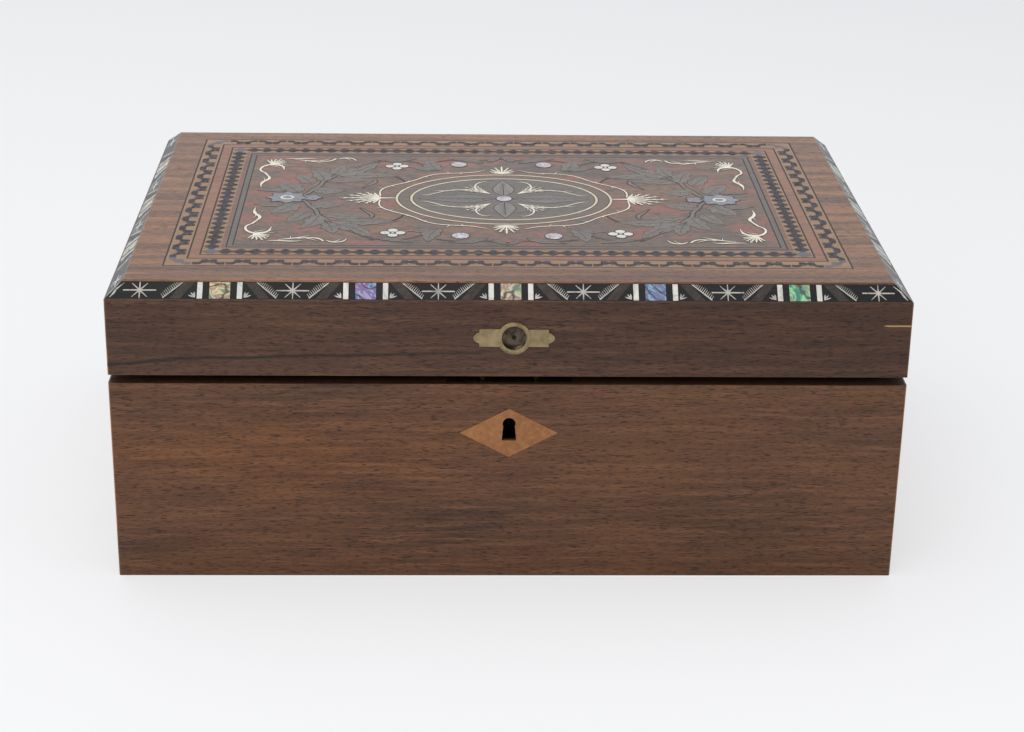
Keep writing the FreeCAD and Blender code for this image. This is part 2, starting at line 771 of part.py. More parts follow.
lower = spring_line(0)
upper = spring_line(spring_thickness)
foot = (vector(spring_left, spring_y, bar_top), vector(spring_left, spring_y, bar_top + spring_thickness))
spring_edges = [Part.LineSegment(foot[0], lower[0]).toShape(), Part.Arc(*lower).toShape()]
spring_edges += [Part.LineSegment(lower[2], upper[2]).toShape(), Part.Arc(*upper).toShape()]
spring_edges += [Part.LineSegment(upper[0], foot[1]).toShape(), Part.LineSegment(foot[1], foot[0]).toShape()]
spring_face = Part.Face(Part.Wire(Part.__sortEdges__(spring_edges)))
bolt_pieces["lock_spring"] = spring_face.extrude(inwards * spring_width)

# Strike plate in the lid, with two loops for the prongs
strike_top = lid_bottom + lock_plate_thickness
strike_y = (lock_face - selvedge_depth, lock_face)
loop_hole_low = prong_range[0] - prong_play
loop_hole_high = prong_range[1] + prong_play
strike_body = block((-selvedge_half_width, selvedge_half_width), strike_y, (lid_bottom, strike_top))
strike_plate = strike_body
for middle in loops:
    loop_x = (middle - loop_thickness / 2, middle + loop_thickness / 2)
    loop = block(loop_x, (lock_middle - loop_width / 2, lock_middle + loop_width / 2),
                 (loop_hole_low - loop_bar, lid_bottom))
    eye_half = loop_width / 2 - loop_side
    eye = block((loop_x[0] - overrun, loop_x[1] + overrun), (lock_middle - eye_half, lock_middle + eye_half),
                (loop_hole_low, loop_hole_high))
    strike_plate = strike_plate.fuse(loop.cut(eye))
strike_plate = strike_plate.removeSplitter()
strike_screws = [((hand * lock_screw_x, lock_screw_y, lid_bottom), up) for hand in (-1, 1)]
strike_holes = [screw(place, way, screw_clearance) for place, way in strike_screws]
lid_pieces["strike_plate"] = strike_plate.cut(strike_holes)
lid_boards["front"] = lid_boards["front"].cut([strike_body] + strike_holes)

# Brass plate on the lid front
plate_z = lid_bottom + lid_plate_height
plate_face = -half_depth - lid_plate_proud
lid_plate_thickness = veneer + lid_plate_proud


def plate_outline(front, depth):
    """Bar, two noses and the round middle, through a depth from the front."""
    half_bar = lid_plate_bar_height / 2
    ends = (lid_plate_aside - lid_plate_half_bar, lid_plate_aside + lid_plate_half_bar)
    bar = block(ends, (front, front + depth), (plate_z - half_bar, plate_z + half_bar))
    noses = [round_bar((end, front, plate_z), inwards, lid_plate_nose, depth) for end in ends]
    middle = round_bar((lid_plate_aside, front, plate_z), inwards, roundel_radius, depth)
    return bar.fuse(noses + [middle])


lid_plate = plate_outline(plate_face, lid_plate_thickness)
dish_middle = vector(lid_plate_aside, plate_face, plate_z)
dish = Part.makeCone(dish_radius, dish_floor_radius, dish_depth, dish_middle, inwards)
pin_start = (lid_plate_aside, plate_face + dish_depth - plate_pin_head, plate_z)
pin_hole = round_bar(pin_start, inwards, plate_pin_radius + screw_clearance, plate_pin_length)
lid_pieces["lid_plate"] = lid_plate.removeSplitter().cut([dish, pin_hole])
lid_pieces["lid_plate_pin"] = round_bar(pin_start, inwards, plate_pin_radius, plate_pin_length)
plate_pocket = plate_outline(plate_face, lid_plate_thickness)
lid_veneers["front"] = lid_veneers["front"].cut(plate_pocket)
lid_boards["front"] = lid_boards["front"].cut(pin_hole)

# Stop hinges
segment = (hinge_length + knuckle_gap) / knuckle_count
heel_angle = math.radians(stop_angle / 2)
barrel_clear = knuckle_radius + knuckle_clearance
heel_clear = barrel_clear / math.cos((math.pi / 2 - heel_angle) / 2)


def knuckle_start(left, index):
    """Where one knuckle begins on a hinge that starts at the left."""
    return left + segment * index


def heel_bar(start, length, near, rank):
    """A bar behind the knuckles whose slanting face stops the lid; rank is 1 above, -1 below."""
    reach = (math.cos(heel_angle), rank * math.sin(heel_angle))
    outline = [(near * reach[0], near * reach[1]), (heel_reach * reach[0], heel_reach * reach[1])]
    outline += [(heel_back, rank * heel_reach), (heel_back, rank * near)]
    points = [(start, hinge_y + y, hinge_z + z) for y, z in outline]
    return prism(points, across * length)


def leaf_body(left, z_range):
    """The flat of one leaf, from its inner edge to the hinge line."""
    return block((left, left + hinge_length), (half_depth - hinge_leaf_depth, hinge_y), z_range)


def hinge_leaf(left, rank):
    """A leaf with its own knuckles, room for the other leaf's, and its stop."""
    knuckle_length = segment - knuckle_gap
    leaf = leaf_body(left, leaf_range(rank))
    heel = heel_bar(left, hinge_length, heel_clear, rank)
    for index in range(knuckle_count):
        start = knuckle_start(left, index)
        if (index % 2 == 0) == (rank < 0):
            barrel = round_bar((start, hinge_y, hinge_z), across, knuckle_radius, knuckle_length)
            root = heel_bar(start, knuckle_length, knuckle_radius - knuckle_gap, rank)
            leaf = leaf.fuse([barrel, root])
        else:
            leaf = leaf.cut(block(
                (start - knuckle_gap, start + segment), (hinge_y - barrel_clear, hinge_y + overrun),
                (hinge_z - barrel_clear, hinge_z + barrel_clear)))
    bore = round_bar((left - overrun, hinge_y, hinge_z), across, hinge_pin_radius + hinge_pin_clearance,
                     hinge_length + 2 * overrun)
    return leaf.fuse(heel).removeSplitter().cut(bore)


def leaf_range(rank):
    """Heights of a leaf let into the base rim or into the lid."""
    if rank < 0:
        return (base_height - hinge_leaf_thickness, base_height)
    return (lid_bottom, lid_bottom + hinge_leaf_thickness)


hinge_screws = {-1: [], 1: []}
hinge_pins = []
hinge_screw_y = half_depth - hinge_leaf_depth / 2
hinge_outer = half_width - hinge_inset
for name, left in (("left", -hinge_outer), ("right", hinge_outer - hinge_length)):
    groove = block((left - knuckle_clearance, left + hinge_length + knuckle_clearance),
                   (hinge_y - barrel_clear, hinge_y), (hinge_z - barrel_clear, hinge_z + barrel_clear))
    hinge_pins.append(round_bar((left, hinge_y, hinge_z), across, hinge_pin_radius, hinge_length))
    for rank, pieces, boards, veneers, part_name in (
            (-1, base_pieces, base_boards, base_veneers, "_hinge_lower_leaf"),
            (1, lid_pieces, lid_boards, lid_veneers, "_hinge_upper_leaf")):
        level = leaf_range(rank)[1] if rank < 0 else leaf_range(rank)[0]
        middle = left + hinge_length / 2
        places = [((middle + step * hinge_screw_spacing / 2, hinge_screw_y, level), up * rank)
                  for step in (-1, 1)]
        holes = [screw(place, way, screw_clearance) for place, way in places]
        hinge_screws[rank] += places
        pieces[name + part_name] = hinge_leaf(left, rank).cut(holes)
        recess = leaf_body(left, leaf_range(rank))
        boards["back"] = boards["back"].cut([recess, groove] + holes)
        veneers["back"] = veneers["back"].cut([recess, groove])
base_pieces["hinge_pins"] = Part.makeCompound(hinge_pins)
base_pieces["base_screws"] = Part.makeCompound(
    [screw(place, way) for place, way in lock_screws + hinge_screws[-1]])
lid_pieces["lid_screws"] = Part.makeCompound(
    [screw(place, way) for place, way in strike_screws + hinge_screws[1]])

for side in ("front", "back", "left", "right"):
    base_pieces["base_" + side + "_board"] = base_boards[side]
    base_pieces["base_" + side + "_veneer"] = base_veneers[side]
    lid_pieces["lid_" + side + "_rail"] = lid_boards[side]
    lid_pieces["lid_" + side + "_veneer"] = lid_veneers[side]

# The lid is drawn shut, then opened a little about the hinge line
for shape in lid_pieces.values():
    shape.rotate(vector(0, hinge_y, hinge_z), -across, lid_rest_angle)

os.makedirs("parts", exist_ok=True)
for pieces in (base_pieces, bolt_pieces, lid_pieces):
    for name, shape in pieces.items():
        solids = shape.Solids
        whole = solids[0] if len(solids) == 1 else Part.makeCompound(solids)
        whole.exportStep("parts/" + name + ".step")
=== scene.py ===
import json
import math

import bmesh
import bpy
from mathutils import Matrix, Vector


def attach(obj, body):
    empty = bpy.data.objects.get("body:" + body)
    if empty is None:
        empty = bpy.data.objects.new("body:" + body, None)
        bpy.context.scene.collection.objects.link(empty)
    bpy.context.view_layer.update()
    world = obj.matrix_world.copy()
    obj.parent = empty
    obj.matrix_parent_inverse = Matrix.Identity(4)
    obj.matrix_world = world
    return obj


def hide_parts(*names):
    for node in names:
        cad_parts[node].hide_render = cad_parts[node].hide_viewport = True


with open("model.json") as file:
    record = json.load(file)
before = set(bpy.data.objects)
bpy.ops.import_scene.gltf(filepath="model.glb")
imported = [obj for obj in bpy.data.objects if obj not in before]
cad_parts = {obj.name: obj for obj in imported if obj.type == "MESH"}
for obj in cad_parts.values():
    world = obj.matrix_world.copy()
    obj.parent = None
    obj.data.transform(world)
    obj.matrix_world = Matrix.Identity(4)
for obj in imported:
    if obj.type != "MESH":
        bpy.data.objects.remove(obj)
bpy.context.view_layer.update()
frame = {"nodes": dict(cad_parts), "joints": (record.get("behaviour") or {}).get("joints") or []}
scene = bpy.context.scene
mm = 0.001


# Base carcass
# Four boards dovetailed at the corners and a bottom board let into a rebate. They are plain
# secondary wood, planed and left unpolished, and show only at the rim and inside the box.

def feed(tree, node, sockets):
    """A value or a link given to each socket of a node that is named."""
    for name, value in sockets.items():
        if isinstance(value, bpy.types.NodeSocket):
            tree.links.new(value, node.inputs[name])
        else:
            node.inputs[name].default_value = value


def put(tree, kind, sockets=None, **settings):
    """One shader node in a tree: its settings, then what its sockets are fed."""
    made = tree.nodes.new("ShaderNode" + kind)
    for name, value in settings.items():
        setattr(made, name, value)
    feed(tree, made, sockets or {})
    return made


def shade(red, green, blue):
    """A colour as it is seen, 0 to 255, in the linear values that a socket takes."""
    seen = (channel / 255 for channel in (red, green, blue))
    return (*(c / 12.92 if c < 0.04045 else ((c + 0.055) / 1.055) ** 2.4 for c in seen), 1.0)


def ramp(tree, factor, *stops):
    """A colour that runs through the stops, each a place and a seen colour, as the factor grows."""
    made = put(tree, "ValToRGB", {"Fac": factor})
    band = made.color_ramp.elements
    while len(band) < len(stops):
        band.new(1.0)
    for mark, (place, colour) in zip(band, stops):
        mark.position = place
        mark.color = shade(*colour)
    return made.outputs["Color"]


def mixed(tree, factor, first, second, how="MIX"):
    """Two colours blended by a mask: each is a link, a seen colour or a tint of four linear values."""
    pair = [shade(*value) if isinstance(value, tuple) and len(value) == 3 else value
            for value in (first, second)]
    return put(tree, "Mix", {0: factor, 6: pair[0], 7: pair[1]}, data_type="RGBA",
               blend_type=how).outputs[2]


def reckon(tree, how, *values):
    """A sum, product or the like of values that change over the surface."""
    return put(tree, "Math", dict(enumerate(values)), operation=how).outputs[0]


def spread(tree, value, low, high, out_low=0.0, out_high=1.0):
    """A value stretched from one range to another, and held there."""
    return put(tree, "MapRange", {"Value": value, "From Min": low, "From Max": high,
                                            "To Min": out_low, "To Max": out_high}).outputs[0]


def noise(tree, place, scale, detail, roughness=0.5, distortion=0.0):
    """Cloudy noise over a place, of this many clouds to the metre."""
    return put(tree, "TexNoise", {"Vector": place, "Scale": scale, "Detail": detail,
                                            "Roughness": roughness, "Distortion": distortion}).outputs[0]


def stretched(tree, place, *scale):
    """The same place, drawn out along an axis whose scale is small."""
    return put(tree, "Mapping", {"Vector": place, "Scale": scale}).outputs[0]


def new_group(name, *marks):
    """An empty shader group: the group, the place it is given and the outlet for its marks."""
    group = bpy.data.node_groups.new(name, "ShaderNodeTree")
    group.interface.new_socket("Place", in_out="INPUT", socket_type="NodeSocketVector")
    for mark in marks:
        group.interface.new_socket(mark, in_out="OUTPUT", socket_type="NodeSocketFloat")
    place = group.nodes.new("NodeGroupInput").outputs["Place"]
    return group, place, group.nodes.new("NodeGroupOutput")


grain, place, outlet = new_group("wood_grain", "Streak", "Pore", "Cloud", "Band")
sway = put(grain, "TexNoise", {"Vector": place, "Scale": 9.0, "Detail": 2.0})
lean = put(grain, "VectorMath", {0: sway.outputs["Color"], 1: (0.0, 0.007, 0.007)},
           operation="MULTIPLY").outputs[0]
swayed = put(grain, "VectorMath", {0: place, 1: lean}, operation="ADD").outputs[0]
bands, threads, vessels, clouds = (stretched(grain, swayed, run, 1, 1) for run in (0.02, 0.045, 0.09, 0.25))
feed(grain, outlet, {
    "Streak": noise(grain, threads, 420, 6, roughness=0.75),
    "Pore": spread(grain, noise(grain, vessels, 2900, 1.5), 0.56, 0.64),
    "Cloud": spread(grain, noise(grain, clouds, 30, 3), 0.3, 0.7),
    "Band": spread(grain, noise(grain, bands, 130, 3), 0.36, 0.66),
})


def new_finish(name):
    """An empty material: its tree, its shader and the piece's own coordinates."""
    finish = bpy.data.materials.new(name)
    finish.use_nodes = True
    tree = finish.node_tree
    return finish, tree, tree.nodes["Principled BSDF"], put(tree, "TexCoord").outputs["Object"]


def axes(tree):
    """The piece's own X, Y and Z, for marks that keep their place on it."""
    place = put(tree, "TexCoord").outputs["Object"]
    return put(tree, "SeparateXYZ", {"Vector": place}).outputs


def wood(name, dark, middle, light, patch, turn=0.0, shift=0.0, pores=0.72, patches=0.5, bands=0.3,
         dullness=0.38, gloss=0.35, rubbed=None):
    """Wood with its grain along X, or turned about Z by an angle, and shifted to another plank. Rubbed
    edges, given as an axis and the distance from the middle at which they start, are worn pale."""
    finish, tree, surface, place = new_finish(name)
    along = put(tree, "Mapping", {"Vector": place, "Rotation": (0, 0, -turn),
                                            "Location": (shift, shift, shift)}).outputs[0]
    figure = put(tree, "Group", {"Place": along}, node_tree=grain)
    colour = ramp(tree, figure.outputs["Streak"], (0.33, dark), (0.5, middle), (0.66, light))
    colour = mixed(tree, reckon(tree, "MULTIPLY", figure.outputs["Cloud"], patches), colour, patch)
    colour = mixed(tree, reckon(tree, "MULTIPLY", figure.outputs["Band"], bands), colour, dark)
    pore = reckon(tree, "MULTIPLY", figure.outputs["Pore"], pores)
    colour = mixed(tree, pore, colour, tuple(c * 0.4 for c in shade(*dark)[:3]) + (1.0,))
    if rubbed:
        axis, start = rubbed
        out = reckon(tree, "ABSOLUTE", axes(tree)[axis])
        worn = spread(tree, out, start, start + 0.5 * mm, 0, 0.8)
        worn = reckon(tree, "MULTIPLY", worn, spread(tree, figure.outputs["Cloud"], 0.1, 0.7, 0.3, 1))
        colour = mixed(tree, worn, colour, (196, 140, 96))
    height = reckon(tree, "SUBTRACT", reckon(tree, "MULTIPLY", figure.outputs["Streak"], 0.4), pore)
    relief = put(tree, "Bump", {"Height": height, "Strength": 0.25, "Distance": 0.0002})
    feed(tree, surface, {"Base Color": colour, "Normal": relief.outputs[0], "Specular IOR Level": gloss,
                         "Roughness": reckon(tree, "MULTIPLY_ADD", pore, 0.25, dullness)})
    return finish


def dress(finish, *names):
    """A finish put on CAD pieces that keep their shape."""
    for name in names:
        frame["nodes"][name].material_slots[0].material = finish


across = math.pi / 2
# The bare wood is dark partly in its own right and partly as painted shade, so that the gap between lid and
# base reads dark.
bare_colours = ((46, 28, 20), (70, 44, 31), (92, 62, 45), (84, 58, 44))
bare_long = wood("bare_wood_long", *bare_colours, dullness=0.62, gloss=0.2)
bare_cross = wood("bare_wood_cross", *bare_colours, turn=across, dullness=0.62, gloss=0.2)
dress(bare_long, "base_front_board", "base_back_board", "bottom_board")
dress(bare_cross, "base_left_board", "base_right_board")


# Base veneers
# Sheets of rosewood glued to the four sides, grain level, waxed to a satin. The edges are rubbed
# pale where they have been handled, and the front sheet has a warm patch left of its middle.

def lay_over(finish, factor, colour, how="MIX"):
    """One more colour over a finish's own, as far as the factor says."""
    tree = finish.node_tree
    socket = tree.nodes["Principled BSDF"].inputs["Base Color"]
    tree.links.new(mixed(tree, factor, socket.links[0].from_socket, colour, how), socket)


rubbed_ends, rubbed_sides = (0, 177.3 * mm), (1, 123.0 * mm)
rosewood_colours = ((60, 38, 28), (89, 59, 43), (126, 86, 60), (128, 84, 48))
rosewood_front = wood("rosewood_front", *rosewood_colours, shift=0.12, patches=0.7, bands=0.25,
                      rubbed=rubbed_ends)
rosewood_side = wood("rosewood_side", *rosewood_colours, turn=across, shift=0.37, patches=0.8, bands=0.2,
                     rubbed=rubbed_sides)
tree = rosewood_front.node_tree
patch_middle, patch_half = (-0.09, 0, 0.06), (0.1, 10, 0.03)
from_patch = put(tree, "Mapping", {"Vector": put(tree, "TexCoord").outputs["Object"],
                                             "Location": patch_middle, "Scale": patch_half},
                 vector_type="TEXTURE").outputs[0]
far = put(tree, "VectorMath", {0: from_patch}, operation="LENGTH").outputs["Value"]
warm_tint = (1.3, 1.16, 0.94, 1)
lay_over(rosewood_front, spread(tree, far, 1, 0.2), warm_tint, "MULTIPLY")
dress(rosewood_front, "base_front_veneer", "base_back_veneer")
dress(rosewood_side, "base_left_veneer", "base_right_veneer")


# Keyhole diamond
# A lozenge of boxwood glued into the front veneer round the keyhole and scraped level with it, its
# grain on the slant, gone orange with old polish.

boxwood_lozenge = wood("boxwood_lozenge", (134, 84, 46), (152, 99, 57), (172, 118, 72),
                       (176, 124, 76), turn=0.9, pores=0.15, patches=0.7)
dress(boxwood_lozenge, "keyhole_diamond")


# Box lock
# A brass plate and cap with a sliding bolt, a steel spring and a drill pin that the key fits over.
# The brass is old and dull. The plate is painted near black below the rim, and the cap and pin behind the
# keyhole are painted black, as painted shade in the gap and the keyhole. The strike plate under the lid is
# darkened as painted shade too.

wear, place, outlet = new_group("metal_wear", "Tarnish", "Scratch")
blotch = noise(wear, place, 220, 5, roughness=0.65)
rubbed = put(wear, "Mapping", {"Vector": place, "Rotation": (0.2, 0.3, 0.4),
                                         "Scale": (0.06, 1, 1)}).outputs[0]
hair = noise(wear, rubbed, 2600, 2)
feed(wear, outlet, {"Tarnish": spread(wear, blotch, 0.4, 0.68), "Scratch": spread(wear, hair, 0.55, 0.75)})


def metal(name, bright, dull, dullness):
    """Old metal: bright where it is rubbed, blotched with tarnish and finely scratched."""
    finish, tree, surface, place = new_finish(name)
    age = put(tree, "Group", {"Place": place}, node_tree=wear)
    colour = mixed(tree, age.outputs["Tarnish"], bright, dull)
    scratch = reckon(tree, "MULTIPLY", age.outputs["Scratch"], 0.35)
    rough = reckon(tree, "MULTIPLY_ADD", age.outputs["Tarnish"], 0.2, dullness)
    relief = put(tree, "Bump", {"Height": age.outputs["Scratch"], "Strength": 0.15,
                                          "Distance": 0.0001})
    feed(tree, surface, {"Base Color": mixed(tree, scratch, colour, bright), "Roughness": rough,
                         "Normal": relief.outputs[0], "Metallic": 1.0})
    return finish


old_brass = metal("old_brass", (170, 149, 114), (126, 108, 80), 0.32)
# The strike plate is brass darkened as painted shade, where it sits in the shaded gap under the lid.
shade_dark_brass = metal("shade_dark_brass", (74, 61, 42), (38, 31, 22), 0.45)
# The cap and the drill pin are near black as painted shade inside the keyhole.
shade_black_brass = metal("shade_black_brass", (22, 17, 13), (12, 10, 8), 0.7)
old_steel = metal("old_steel", (150, 150, 150), (90, 86, 82), 0.32)
lock_brass = metal("lock_brass", (170, 149, 114), (126, 108, 80), 0.32)
tree = lock_brass.node_tree
# Painted shade: the lock plate goes near black below the rim, where the gap and the keyhole lie in shade.
shade_starts_at, painted_black_below = 94.5 * mm, 92.0 * mm
lay_over(lock_brass, spread(tree, axes(tree)["Z"], shade_starts_at, painted_black_below), (14, 11, 9))
dress(lock_brass, "lock_plate")
dress(old_brass, "lock_bolt", "base_screws", "lid_screws")
dress(shade_dark_brass, "strike_plate")
dress(shade_black_brass, "lock_cap", "lock_drill_pin")
dress(old_steel, "lock_spring")


# Lid carcass
# Four rails dovetailed like the base, and a top board between them that carries the marquetry. They
# are secondary wood, left bare on the inside.

dress(bare_long, "lid_front_rail", "lid_back_rail", "lid_top_board")
dress(bare_cross, "lid_left_rail", "lid_right_rail")


# Lid side veneers
# Rosewood sheets darker than those of the base, glued on and waxed. The front one has painted shade that
# darkens it to the right, a black streak along its left half, and a pale scar at its right end.

lid_colours = ((52, 34, 26), (81, 54, 40), (114, 79, 58), (98, 66, 46))
rosewood_lid_front = wood("rosewood_lid_front", *lid_colours, shift=0.71, rubbed=rubbed_ends)
rosewood_lid_back = wood("rosewood_lid_back", *lid_colours, shift=0.55, rubbed=rubbed_ends)
rosewood_lid_side = wood("rosewood_lid_side", *lid_colours, turn=across, shift=0.93, rubbed=rubbed_sides)
dress(rosewood_lid_front, "lid_front_veneer")
dress(rosewood_lid_back, "lid_back_veneer")
dress(rosewood_lid_side, "lid_left_veneer", "lid_right_veneer")

tree = rosewood_lid_front.node_tree
place = put(tree, "TexCoord").outputs["Object"]
waver = noise(tree, place, 14, 3)
ways = axes(tree)
painted_shade_tint = (0.8, 0.77, 0.72, 1)
# Painted shade: the front sheet darkens towards the right, as light falls off away from the lamps on the
# left.
lay_over(rosewood_lid_front, spread(tree, ways["X"], -0.06, 0.12), painted_shade_tint, "MULTIPLY")
streak_middle, streak_climb, streak_sway = 0.1115, 0.035, 0.008
line_height = reckon(tree, "ADD", reckon(tree, "MULTIPLY_ADD", ways["X"], streak_climb, streak_middle),
                     reckon(tree, "MULTIPLY_ADD", waver, streak_sway, -streak_sway / 2))
off_line = reckon(tree, "ABSOLUTE", reckon(tree, "SUBTRACT", ways["Z"], line_height))
black_line = reckon(tree, "MULTIPLY", spread(tree, off_line, 1.1 * mm, 0.2 * mm, 0, 0.8),
                    spread(tree, ways["X"], 0.02, -0.07))
lay_over(rosewood_lid_front, black_line, (34, 24, 21))
scar_height, scar_start = 0.1246, 0.165
off_scar = reckon(tree, "ABSOLUTE", reckon(tree, "SUBTRACT", ways["Z"], scar_height))
scar = reckon(tree, "MULTIPLY", spread(tree, off_scar, 0.5 * mm, 0.25 * mm),
              spread(tree, ways["X"], scar_start, scar_start + 2 * mm))
lay_over(rosewood_lid_front, scar, (176, 138, 92))


# Lid plate
# A brass plate let into the lid front: a bar with stepped ends, a milled ring soldered on it and a
# dished cup gone dark inside the ring, held by an iron pin through the middle.

inlay_depth = 0.3


def pour(bm, curve, placing):
    """The mesh of a curve, placed and added to a bmesh. The curve itself goes."""
    holder = bpy.data.objects.new("curve", curve)
    mesh = bpy.data.meshes.new_from_object(holder)
    mesh.transform(placing)
    bm.from_mesh(mesh)
    bpy.data.objects.remove(holder)
    bpy.data.curves.remove(curve)
    bpy.data.meshes.remove(mesh)


def saw_plates(bm, *plates, thick=inlay_depth, ease=0.0, lift=0.0):
    """Thin plates sawn to shape, added to a bmesh at this height. A plate is an outline and then its
    holes, each a row of (x, y, sharp) in mm, where a point is sharp or rounds into its neighbours."""
    for plate in plates:
        outline = bpy.data.curves.new("outline", "CURVE")
        outline.dimensions = "2D"
        outline.fill_mode = "BOTH"
        outline.extrude = (thick / 2 - ease) * mm
        outline.bevel_depth = ease * mm
        outline.bevel_resolution = 1
        outline.offset = -ease * mm
        outline.resolution_u = 4
        for row in plate:
            spline = outline.splines.new("BEZIER")
            spline.bezier_points.add(len(row) - 1)
            spline.use_cyclic_u = True
            for knot, (x, y, sharp) in zip(spline.bezier_points, row):
                knot.co = (x * mm, y * mm, 0)
                knot.handle_left_type = knot.handle_right_type = "VECTOR" if sharp else "AUTO"
        pour(bm, outline, Matrix.Translation((0, 0, lift * mm)))


def turned(bm, steps, *profile):
    """A round piece turned from a profile of (radius, height) in mm about Z."""
    line = [bm.verts.new((radius * mm, 0, height * mm)) for radius, height in profile]
    edges = [bm.edges.new(pair) for pair in zip(line, line[1:])]
    bmesh.ops.spin(bm, geom=line + edges, cent=(0, 0, 0), axis=(0, 0, 1), angle=2 * math.pi, steps=steps,
                   use_merge=True)


def set_piece(name, bm, place, finish, slot, *stands_for, body="lid", smooth=False):
    """The drawn piece put in its place, given its finish and fixed to the part that carries it."""
    bmesh.ops.transform(bm, matrix=place, verts=bm.verts)
    bmesh.ops.recalc_face_normals(bm, faces=bm.faces)
    for face in bm.faces:
        face.smooth = smooth
    mesh = bpy.data.meshes.new(name)
    bm.to_mesh(mesh)
    bm.free()
    if smooth:
        mesh.set_sharp_from_angle(angle=math.radians(35))
    mesh.materials.append(finish)
    made = bpy.data.objects.new(name, mesh)
    scene.collection.objects.link(made)
    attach(made, body)
    if stands_for:
        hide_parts(*stands_for)


hinge = next(joint for joint in frame["joints"] if joint["name"] == "lid_hinge")
hinge_line = Matrix.Translation(hinge["pos_m"])
ajar = Matrix.Rotation(math.radians(hinge["range_deg"][0]), 4, "X")
lid_at_rest = hinge_line @ ajar @ hinge_line.inverted()

plate_aside, plate_height, plate_thick, plate_proud = 1.6, 114.6, 0.9, 0.3
half_depth = 124.0
plate_place = (lid_at_rest @ Matrix.Translation((plate_aside * mm, -half_depth * mm, plate_height * mm))
               @ Matrix.Rotation(across, 4, "X"))
bar, step, nose, roundel = (15.4, 4.2), 2.7, 18.1, 7.7
meet = math.sqrt(roundel ** 2 - bar[1] ** 2)
end_row = [(bar[0], step, True), (bar[0] + 1.5, 2.0, False), (nose, 0, False), (bar[0] + 1.5, -2.0, False),
           (bar[0], -step, True), (bar[0], -bar[1], True), (meet, -bar[1], True), (4.6, -6.17, False)]
half_row = [(0, roundel, False), (4.6, 6.17, False), (meet, bar[1], True), (bar[0], bar[1], True), *end_row]
other_row = [(-x, -y, sharp) for x, y, sharp in half_row]
hole, hole_points = 5.8, 12
hole_turns = [turn * 2 * math.pi / hole_points for turn in range(hole_points)]
hole_row = [(hole * math.cos(turn), hole * math.sin(turn), False) for turn in hole_turns]
brass_plate = bmesh.new()
saw_plates(brass_plate, [half_row + other_row, hole_row], thick=plate_thick, ease=0.2)
bmesh.ops.translate(brass_plate, vec=(0, 0, (plate_proud - plate_thick / 2) * mm), verts=brass_plate.verts)
turned(brass_plate, 64, (7.65, 0.2), (7.55, 0.5), (7.35, 0.58), (7.15, 0.52), (7.05, 0.4), (5.95, 0.4),
       (5.85, 0.5), (5.65, 0.54), (5.5, 0.48), (5.4, 0.28))
notches = 48
notch_place = Matrix.Translation((7.3 * mm, 0, 0.53 * mm)) @ Matrix.Diagonal((0.6, 0.42, 0.16, 1))
for notch in range(notches):
    round_ring = Matrix.Rotation(notch * 2 * math.pi / notches, 4, "Z")
    bmesh.ops.create_cube(brass_plate, size=mm, matrix=round_ring @ notch_place)
plate_brass = metal("plate_brass", (164, 145, 110), (138, 120, 90), 0.3)
set_piece("lid_plate_brass", brass_plate, plate_place, plate_brass, "brass", "lid_plate", smooth=True)

cup_brass = metal("cup_brass", (96, 84, 70), (46, 39, 33), 0.22)
cup = bmesh.new()
turned(cup, 48, (5.48, 0.46), (5.2, 0.18), (4.5, -0.14), (3.4, -0.36), (2.1, -0.48), (0.95, -0.5))
set_piece("lid_plate_cup", cup, plate_place, cup_brass, "brass", smooth=True)
old_iron = metal("old_iron", (50, 44, 40), (26, 22, 20), 0.45)
dress(old_iron, "lid_plate_pin")


# Edge strips
# Ebonised strips on the sloping edge of the lid, mitred at the corners. Shell tiles between pearl
# bars and brown diagonals are let in, with stars and fern sprays of fine pearl cut into the black. The
# pearl of the front strip is a darker copy, painted shade for the side that catches less light.

ebony = wood("ebony", (17, 15, 17), (25, 23, 26), (36, 33, 36), (30, 28, 32),
             pores=0.2, patches=0.3, dullness=0.3, gloss=0.3)
dress(ebony, "front_edge_strip", "back_edge_strip", "left_edge_strip", "right_edge_strip")
brown_bars = wood("brown_bars", (48, 41, 36), (68, 60, 54), (86, 78, 70), (76, 68, 60),
                  turn=math.radians(52), pores=0.4, gloss=0.25)
dress(brown_bars, "edge_diagonals")

shell, place, outlet = new_group("shell_play", "Play", "Line")
play = noise(shell, place, 78, 3, roughness=0.55, distortion=1.6)
growth = put(shell, "TexWave", {"Vector": place, "Scale": 44.0, "Distortion": 14.0, "Detail": 3.0,
                                          "Detail Scale": 1.2}, bands_direction="DIAGONAL").outputs[1]
feed(shell, outlet, {"Play": spread(shell, play, 0.27, 0.73), "Line": spread(shell, growth, 0.16, 0)})


def nacre(name, line, lines, dullness, *stops):
    """Shell: colours that play over it in patches, with fine growth lines of this colour and strength."""
    finish, tree, surface, place = new_finish(name)
    lustre = put(tree, "Group", {"Place": place}, node_tree=shell)
    colour = ramp(tree, lustre.outputs["Play"], *stops)
    grown = reckon(tree, "MULTIPLY", lustre.outputs["Line"], lines)
    rough = reckon(tree, "MULTIPLY_ADD", lustre.outputs["Play"], 0.15, dullness)
    feed(tree, surface, {"Base Color": mixed(tree, grown, colour, line), "Roughness": rough,
                         "Coat Weight": 0.3})
    return finish


abalone = nacre("abalone", (26, 30, 38), 0.85, 0.15,
                (0.08, (44, 62, 146)), (0.22, (40, 116, 134)), (0.34, (84, 176, 126)),
                (0.45, (206, 214, 178)), (0.54, (150, 104, 150)), (0.64, (172, 130, 86)),
                (0.76, (226, 212, 190)), (0.88, (70, 150, 104)), (0.98, (52, 74, 150)))
pearl = nacre("pearl", (150, 146, 138), 0.4, 0.22,
              (0, (196, 196, 188)), (0.35, (226, 224, 214)), (0.55, (214, 204, 198)),
              (0.8, (206, 216, 208)), (1, (230, 228, 220)))
